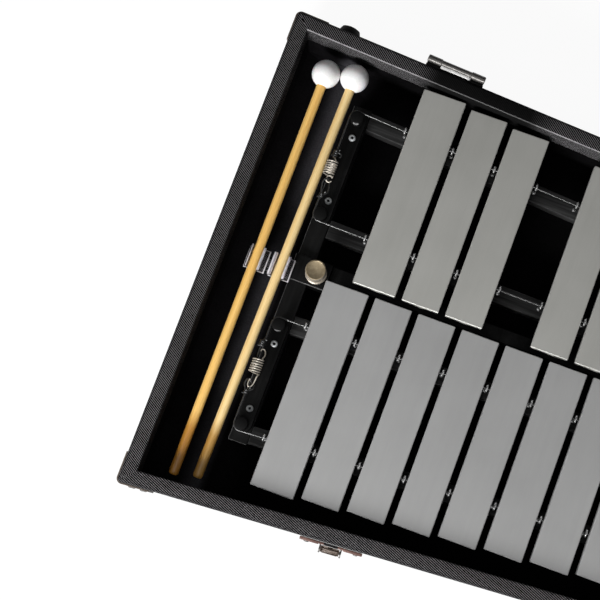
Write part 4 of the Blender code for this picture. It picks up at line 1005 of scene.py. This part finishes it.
def make_cords():
    for row, plan in SPRINGS.items():
        centre = at(LEFT_CORD, plan["y"], CORD_Z)
        upper, lower = (centre + Vector(plan[key]) / 1000 for key in ("upper_knot", "lower_knot"))
        flat = cord_points(LINES[f"{row}_front"], LINES[f"{row}_back"], lower.y - OY - 0.006, upper.y - OY + 0.006)
        route = [at(x, y, CORD_Z) for x, y in flat]
        route = dense([lower, lower.lerp(route[0], 0.6)] + route + [upper.lerp(route[-1], 0.6), upper])
        works = [tube(route, CORD_RADIUS * 0.85, 14), knot(upper), knot(lower, 0.0016, 1.8, 0.0032)]
        for key in ("upper_loop", "lower_loop"):
            works.append(tube(smoothed([centre + Vector(p) / 1000 for p in plan[key]], 5), CORD_RADIUS * 0.72, 10))
        build(f"{row}_cord_braid", merge(*works), CORD, stands_for=(f"{row}_cord",), sharp=60)
        build(f"{row}_spring_wire", spring_wire(centre, plan), SPRING,
              stands_for=(f"{row}_spring",), sharp=60)


# Mallets and clips

MALLET_LENGTH, HEAD_MOUTH, STICK_TIP = 0.409, 0.0048, 0.003


def make_mallets():
    rim = math.sqrt(HEAD_RADIUS ** 2 - HEAD_MOUTH ** 2)
    last = math.pi - math.asin(HEAD_MOUTH / HEAD_RADIUS)
    ball = [(HEAD_RADIUS * math.sin(last * i / 28), HEAD_RADIUS * math.cos(last * i / 28)) for i in range(29)]
    ball += [(HEAD_MOUTH - 0.0002, 0.003 - rim), (0, 0.003 - rim)]
    for number, x, reach, turn in ((1, FIRST_CLIP, 0.1967, 0.0), (2, SECOND_CLIP, 0.2017, -0.72)):
        pivot = Matrix.Translation(at(x, CLIP_Y, STICK_Z)) @ Matrix.Rotation(math.radians(turn), 4, "Z")
        pivot = pivot @ Matrix.Rotation(-math.pi / 2, 4, "X")
        head_y = reach - HEAD_RADIUS + 0.0012
        head = moved(turned(ball, 56), pivot @ Matrix.Translation((0, 0, head_y)))
        build(f"mallet_{number}_ball", head, HEAD, body=f"mallet_{number}",
              stands_for=(f"mallet_{number}_head",), sharp=60)
        top = head_y - rim + 0.0028
        end = head_y + HEAD_RADIUS - MALLET_LENGTH
        shape = [(0, top)] + [(STICK_RADIUS, top + (end + STICK_TIP - top) * i / 20) for i in range(21)]
        shape += [(STICK_RADIUS * 0.93, end + 0.0012), (STICK_RADIUS * 0.72, end + 0.0002), (0, end)]
        build(f"mallet_{number}_rod", moved(turned(shape, 32), pivot), STICKS[number - 1],
              body=f"mallet_{number}", stands_for=(f"mallet_{number}_stick",), sharp=50)


def clip_section():
    """The clip in the XZ plane about the stick: a bowl, cheeks and lips that lean outwards."""
    wall = 0.0012
    radius = STICK_RADIUS + GAP + wall / 2
    bowl = arc((0, 0), radius, math.pi, 2 * math.pi, 24)
    lip = [(0.0066, 0.0060), (0.0061, 0.0048), (0.0056, 0.0034), (radius, 0.0018)]
    return strip_outline([(-x, z) for x, z in lip] + bowl + lip[::-1], wall)


def make_clips():
    """Two clear clips: a cradle on a flat foot each, a thin link, and pale strips on the lips and along the feet's
    edges, painted highlights.
    """
    length, foot_half, foot_shift, foot = 0.0215, 0.0101, 0.0012, 0.0018
    bottom, lip_top = BRACKET_TOP + GAP, STICK_Z + 0.0061
    stand = Matrix.Rotation(math.pi / 2, 4, "X")
    works = [block(at(FIRST_CLIP, CLIP_Y - 0.004, bottom), at(SECOND_CLIP, CLIP_Y + 0.004, bottom + 0.0009), 0.0002)]
    lips = ((-0.0064, -0.0053, lip_top), (0.0048, 0.0073, lip_top - 0.0006), (0.0101, 0.0112, bottom + foot + 0.0009))
    wide_lips = ((-0.0089, -0.0056, lip_top - 0.0010),) + lips[1:]
    for x, strips in ((FIRST_CLIP, lips), (SECOND_CLIP, wide_lips)):
        clip = prism(clip_section(), -length / 2, length / 2, 0.00035, 2)
        works.append(moved(clip, Matrix.Translation(at(x, CLIP_Y, STICK_Z)) @ stand))
        middle = x + foot_shift
        works.append(block(at(middle - foot_half, CLIP_Y - length / 2, bottom),
                           at(middle + foot_half, CLIP_Y + length / 2, bottom + foot), 0.0005, 2, 1))
        # Pale strips over the lips and along the foot's edge: painted highlights
        for left, right, top in strips:
            works.append(painted(block(at(x + left, CLIP_Y - length / 2, top - 0.0010),
                                       at(x + right, CLIP_Y + length / 2, top), 0.0003), 1))
    build("clip_pair", merge(*works), [CLEAR, LIT], stands_for=("mallet_clips",), sharp=50)


# Fittings on the walls

def make_hinges():
    """Half of a lift-off hinge: a leaf painted dark as the shade under the barrel, a bright strap in the middle, two
    knuckles and the bare pin.
    """
    length, knuckle, radius, axis_y, pin_radius = 0.056, 0.0138, 0.0032, 0.0062, 0.0026
    inner = length / 2 - knuckle
    for tag, x in (("left", CASE_LEFT + 0.155), ("right", CASE_RIGHT - 0.155)):
        frame_at = wall_frame(x, back_wall, BACK_TAPER, 1)
        leaf = block((-length / 2, 0.0003, CASE_HEIGHT - 0.0225), (length / 2, 0.0017, CASE_HEIGHT - 0.0012), 0.0004)
        strap = block((-inner, 0.0014, CASE_HEIGHT - 0.0060), (inner, 0.0052, CASE_HEIGHT - 0.0002), 0.0005)
        works = [painted(leaf, 1), strap]
        for side in (-1, 1):
            middle = side * (length - knuckle) / 2
            profile = [(0, knuckle / 2), (radius - 0.0005, knuckle / 2), (radius, knuckle / 2 - 0.0005),
                       (radius, 0.0005 - knuckle / 2), (radius - 0.0005, -knuckle / 2), (0, -knuckle / 2)]
            works.append(painted(moved(turned(profile, 36), axis_matrix((middle, axis_y, CASE_HEIGHT), (1, 0, 0))), 2))
            web = block((middle - knuckle / 2 + 0.0004, 0.0010, CASE_HEIGHT - 0.0060),
                        (middle + knuckle / 2 - 0.0004, axis_y, CASE_HEIGHT - 0.0018), 0.0003)
            works.append(painted(web, 1))
        pin = turned([(0, 0.022), (pin_radius, 0.022), (pin_radius, -0.022), (0, -0.022)], 28)
        works.append(painted(moved(pin, axis_matrix((0, axis_y, CASE_HEIGHT), (1, 0, 0))), 2))
        # Dark strips along the barrels: a rolled seam, and a painted dark reflection along the top
        for low, high, around in ((-inner, inner, pin_radius), (-length / 2 + 0.0006, -inner - 0.0006, radius),
                                  (inner + 0.0006, length / 2 - 0.0006, radius)):
            for angle in (0.35, 1.25):
                seam = block((low, around - 0.0004, -0.0003), (high, around + 0.00012, 0.0003), 0.0001, 1)
                turn = Matrix.Translation((0, axis_y, CASE_HEIGHT)) @ Matrix.Rotation(angle, 4, "X")
                works.append(painted(moved(seam, turn), 1))
        for place in (-0.019, 0.0, 0.019):
            works.append(moved(rivet_head(0.0025, 0.0012), axis_matrix((place, 0.0016, CASE_HEIGHT - 0.0145), (0, 1, 0))))
        build(f"hinge_leaf_{tag}", moved(merge(*works), frame_at), [STRAP, HINGE_SHADE, DULL],
              stands_for=(f"hinge_{tag}",))


def latch_lever(pivot, half, width):
    """The draw lever in the latch's own frame: a bent body, side cheeks, finger ridges and a roller over its hook."""
    back, front = pivot.y - half, pivot.y + half
    section = [(-half, 0), (-half, 0.0168), (-half * 0.8, 0.0173), (half * 0.2, 0.0176), (half * 0.5, 0.0195),
               (half, 0.0200), (half, 0.0)]
    section += [(half * math.cos(a), half * math.sin(a)) for a in (-0.5, -1.05, -1.57, -2.1, -2.64)]
    outline = [(-y, z) for y, z in section][::-1]
    upright = Matrix.Translation(pivot) @ Matrix.Rotation(math.pi / 2, 4, "Z") @ Matrix.Rotation(math.pi / 2, 4, "X")
    works = [moved(prism(outline, -width / 2 + 0.0014, width / 2 - 0.0014, 0.0003, 2), upright)]
    for side in (-1, 1):
        x = side * (width / 2 - 0.0007)
        works.append(block((x - 0.0006, back + 0.0002, pivot.z - 0.0015), (x + 0.0006, front, pivot.z + 0.0212), 0.0003))
    for x, radius in ((-0.0046, 0.0012), (0.0046, 0.0012), (0.0, 0.0019)):
        roller = turned([(0, 0.0021), (radius, 0.0021), (radius, -0.0021), (0, -0.0021)], 20)
        works.append(moved(roller, axis_matrix((x, pivot.y - half * 0.2, pivot.z + 0.0188), (1, 0, 0))))
    for i in range(4):
        z = pivot.z + 0.0125 + i * 0.0015
        works.append(block((-0.007, front - 0.0003, z), (0.007, front + 0.0004, z + 0.0007), 0.0002, 1))
    return works


def make_latches():
    """A plate with a near-black block in the notch behind the lever, painted shade, two ears with the pin, four rivets,
    and the lever itself.
    """
    top, foot, face, half, width = CASE_HEIGHT - 0.0012, CASE_HEIGHT - 0.034, GAP + 0.0022, 0.003, 0.017
    notch, end = 0.0062, 0.0285
    pivot = Vector((0, GAP + 0.0056, CASE_HEIGHT - 0.028))
    for tag, x in (("left", CASE_LEFT + 0.1974), ("right", CASE_RIGHT - 0.1974)):
        frame_at = wall_frame(x, front_wall, FRONT_TAPER, -1)
        middle = block((-notch - 0.0004, GAP, foot + 0.0001), (notch + 0.0004, face - 0.0001, pivot.z + 0.004), 0.0003)
        # A near-black block in the notch above the pin, painted shade
        dark = block((-notch - 0.0002, GAP, pivot.z + 0.0035), (notch + 0.0002, face + 0.0001, top - 0.0004), 0.0002)
        works = [painted(middle, 0), painted(dark, 2)]
        for side in (-1, 1):
            inner, outer = sorted((side * notch, side * end))
            works.append(painted(block((inner, GAP, foot), (outer, face, top), 0.0005), 0))
            inner, outer = sorted((side * 0.0112, side * (end - 0.0001)))
            works.append(painted(block((inner, face - 0.0008, top - 0.0024), (outer, face + 0.0007, top - 0.0002), 0.0005), 0))
            ear = side * (width / 2 + 0.0011)
            works.append(painted(block((ear - 0.0006, face - 0.0005, pivot.z - 0.0042),
                                       (ear + 0.0006, pivot.y, pivot.z + 0.0042), 0.0003), 1))
            disc = turned([(0, 0.0007), (0.0042, 0.0007), (0.0042, -0.0007), (0, -0.0007)], 28)
            works.append(painted(moved(disc, axis_matrix((ear, pivot.y, pivot.z), (1, 0, 0))), 1))
            for height in (foot + 0.006, top - 0.006):
                place = (side * 0.0225, face, height)
                works.append(painted(moved(rivet_head(0.0028, 0.0018), axis_matrix(place, (0, 1, 0))), 1))
        reach = width / 2 + 0.0015
        pin = turned([(0, reach), (0.0014, reach), (0.0014, -reach), (0, -reach)], 20)
        works.append(painted(moved(pin, axis_matrix(pivot, (1, 0, 0))), 1))
        build(f"latch_base_{tag}", moved(merge(*works), frame_at), [BRONZE, DULL, RECESS],
              stands_for=(f"latch_plate_{tag}",))
        lever = merge(*latch_lever(pivot, half, width))
        build(f"latch_flap_{tag}", moved(lever, frame_at), LEVER, body=f"latch_{tag}",
              stands_for=(f"latch_lever_{tag}",))


def make_handle():
    """A moulded bail with grip ridges, on two lugs with a screw each."""
    middle = (CASE_LEFT + CASE_RIGHT) / 2
    frame_at = wall_frame(middle, front_wall, FRONT_TAPER, -1)
    pivot_y, pivot_z, half, drop, bend, radius = 0.0115, 0.042, 0.062, 0.031, 0.017, 0.0070
    left = arc((-half + bend, bend - drop), bend, math.pi, 1.5 * math.pi, 12)
    right = arc((half - bend, bend - drop), bend, 1.5 * math.pi, 2 * math.pi, 12)
    path = [(-half, 0.004)] + left + right + [(half, 0.004)]
    works = [tube(dense([Vector((x, pivot_y, pivot_z + z)) for x, z in path], 0.006), radius, 24)]
    for i in range(15):
        x = (i - 7) * 0.0055
        ring = [(x, y, z) for y, z in arc((pivot_y, pivot_z - drop), radius + 0.0002, 0, 2 * math.pi, 24)[:-1]]
        works.append(tube(ring, 0.0005, 6, closed=True))
    lugs, heads = [], []
    for side in (-1, 1):
        pin = turned([(0, 0.0084), (0.003, 0.0084), (0.003, -0.007), (0, -0.007)], 24)
        works.append(moved(pin, axis_matrix((side * (half + 0.007), pivot_y, pivot_z), (side, 0, 0))))
        x = side * (half + radius + 0.0006 + 0.007)
        lugs.append(block((x - 0.007, -0.001, pivot_z - 0.007), (x + 0.007, pivot_y + 0.007, pivot_z + 0.007), 0.0025, 4))
        heads.append(moved(screw_head(0.0028, 0.0014), axis_matrix((x, pivot_y + 0.0068, pivot_z), (0, 1, 0))))
    build("carry_grip", moved(merge(*works), frame_at), GRIP, body="carrying_handle", stands_for=("handle",), sharp=45)
    build("handle_lugs", moved(merge(*lugs), frame_at), GRIP)
    build("handle_lug_screws", moved(merge(*heads), frame_at), [SCREW, RECESS])


def dress_kept_nodes():
    for node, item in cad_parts.items():
        if node.startswith("bar_"):
            item.data.materials.clear()
            item.data.materials.append(STEEL["accidental" if "s" in node[4:] else "natural"])
        elif node == "centre_stretcher":
            item.data.materials.clear()
            item.data.materials.append(BLACK)


# Light, floor and backdrop

def area_light(name, place, target, size, power):
    data = bpy.data.lights.new(name, "AREA")
    data.shape = "RECTANGLE"
    data.size, data.size_y = size
    data.energy = power
    lamp = bpy.data.objects.new(name, data)
    bpy.context.scene.collection.objects.link(lamp)
    lamp.location = place
    lamp.rotation_mode = "QUATERNION"
    lamp.rotation_quaternion = (Vector(target) - Vector(place)).to_track_quat("-Z", "Y")


def make_light():
    area_light("front_softbox", (-0.72, -1.72, 0.90), (-0.28, -0.05, 0.05), (1.0, 0.65), 69)
    area_light("overhead_softbox", (-0.5, -0.5, 2.4), (-0.2, 0.0, 0.0), (2.0, 1.4), 8)
    world = bpy.data.worlds.new("studio")
    bpy.context.scene.world = world
    world.use_nodes = True
    back = world.node_tree.nodes["Background"]
    back.inputs[0].default_value = (1, 1, 1, 1)
    back.inputs[1].default_value = 0.14


def backdrop_material(name, share, unseen):
    """White to the camera and in reflections by a share, and another shader's own look to all other light."""
    material = bpy.data.materials.new(name)
    material.use_nodes = True
    tree = material.node_tree
    path = tree.nodes.new("ShaderNodeLightPath")
    seen = path.outputs["Is Camera Ray"]
    for ray in ("Is Glossy Ray", "Is Transmission Ray"):
        either = tree.nodes.new("ShaderNodeMath")
        either.operation = "MAXIMUM"
        tree.links.new(seen, either.inputs[0])
        tree.links.new(path.outputs[ray], either.inputs[1])
        seen = either.outputs[0]
    part = tree.nodes.new("ShaderNodeMath")
    part.operation = "MULTIPLY"
    part.inputs[1].default_value = share
    tree.links.new(seen, part.inputs[0])
    glow = tree.nodes.new("ShaderNodeEmission")
    glow.inputs["Strength"].default_value = 1.06
    other = tree.nodes.new(unseen)
    mix = tree.nodes.new("ShaderNodeMixShader")
    tree.links.new(part.outputs[0], mix.inputs[0])
    tree.links.new(other.outputs[0], mix.inputs[1])
    tree.links.new(glow.outputs[0], mix.inputs[2])
    tree.links.new(mix.outputs[0], tree.nodes["Material Output"].inputs["Surface"])
    return material, other


def stage_piece(name, work, material):
    mesh = bpy.data.meshes.new(name)
    work.to_mesh(mesh)
    work.free()
    mesh.materials.append(material)
    piece = bpy.data.objects.new(name, mesh)
    bpy.context.scene.collection.objects.link(piece)


def make_floor():
    """A wide pale floor, and far round it a low white wall that lets all but seen light through."""
    radius, height = 25.0, 8.0
    material, paint = backdrop_material("pale_floor", 0.88, "ShaderNodeBsdfDiffuse")
    paint.inputs["Color"].default_value = (0.8, 0.8, 0.8, 1)
    work = bmesh.new()
    bmesh.ops.create_circle(work, cap_ends=True, segments=96, radius=radius + 1)
    bmesh.ops.translate(work, vec=(0, 0, -0.0002), verts=work.verts)
    stage_piece("floor", work, material)
    material, _ = backdrop_material("white_backdrop", 1.0, "ShaderNodeBsdfTransparent")
    work = bmesh.new()
    bmesh.ops.create_cone(work, cap_ends=False, segments=96, radius1=radius, radius2=radius, depth=height)
    bmesh.ops.translate(work, vec=(0, 0, height / 2 - 0.5), verts=work.verts)
    stage_piece("backdrop", work, material)


bpy.context.scene.view_settings.view_transform = "Standard"
dress_kept_nodes()
make_tray()
make_corner_guards()
make_feet()
make_rails()
make_end_blocks()
make_boards()
make_knobs()
make_cords()
make_mallets()
make_clips()
make_hinges()
make_latches()
make_handle()
make_floor()
make_light()
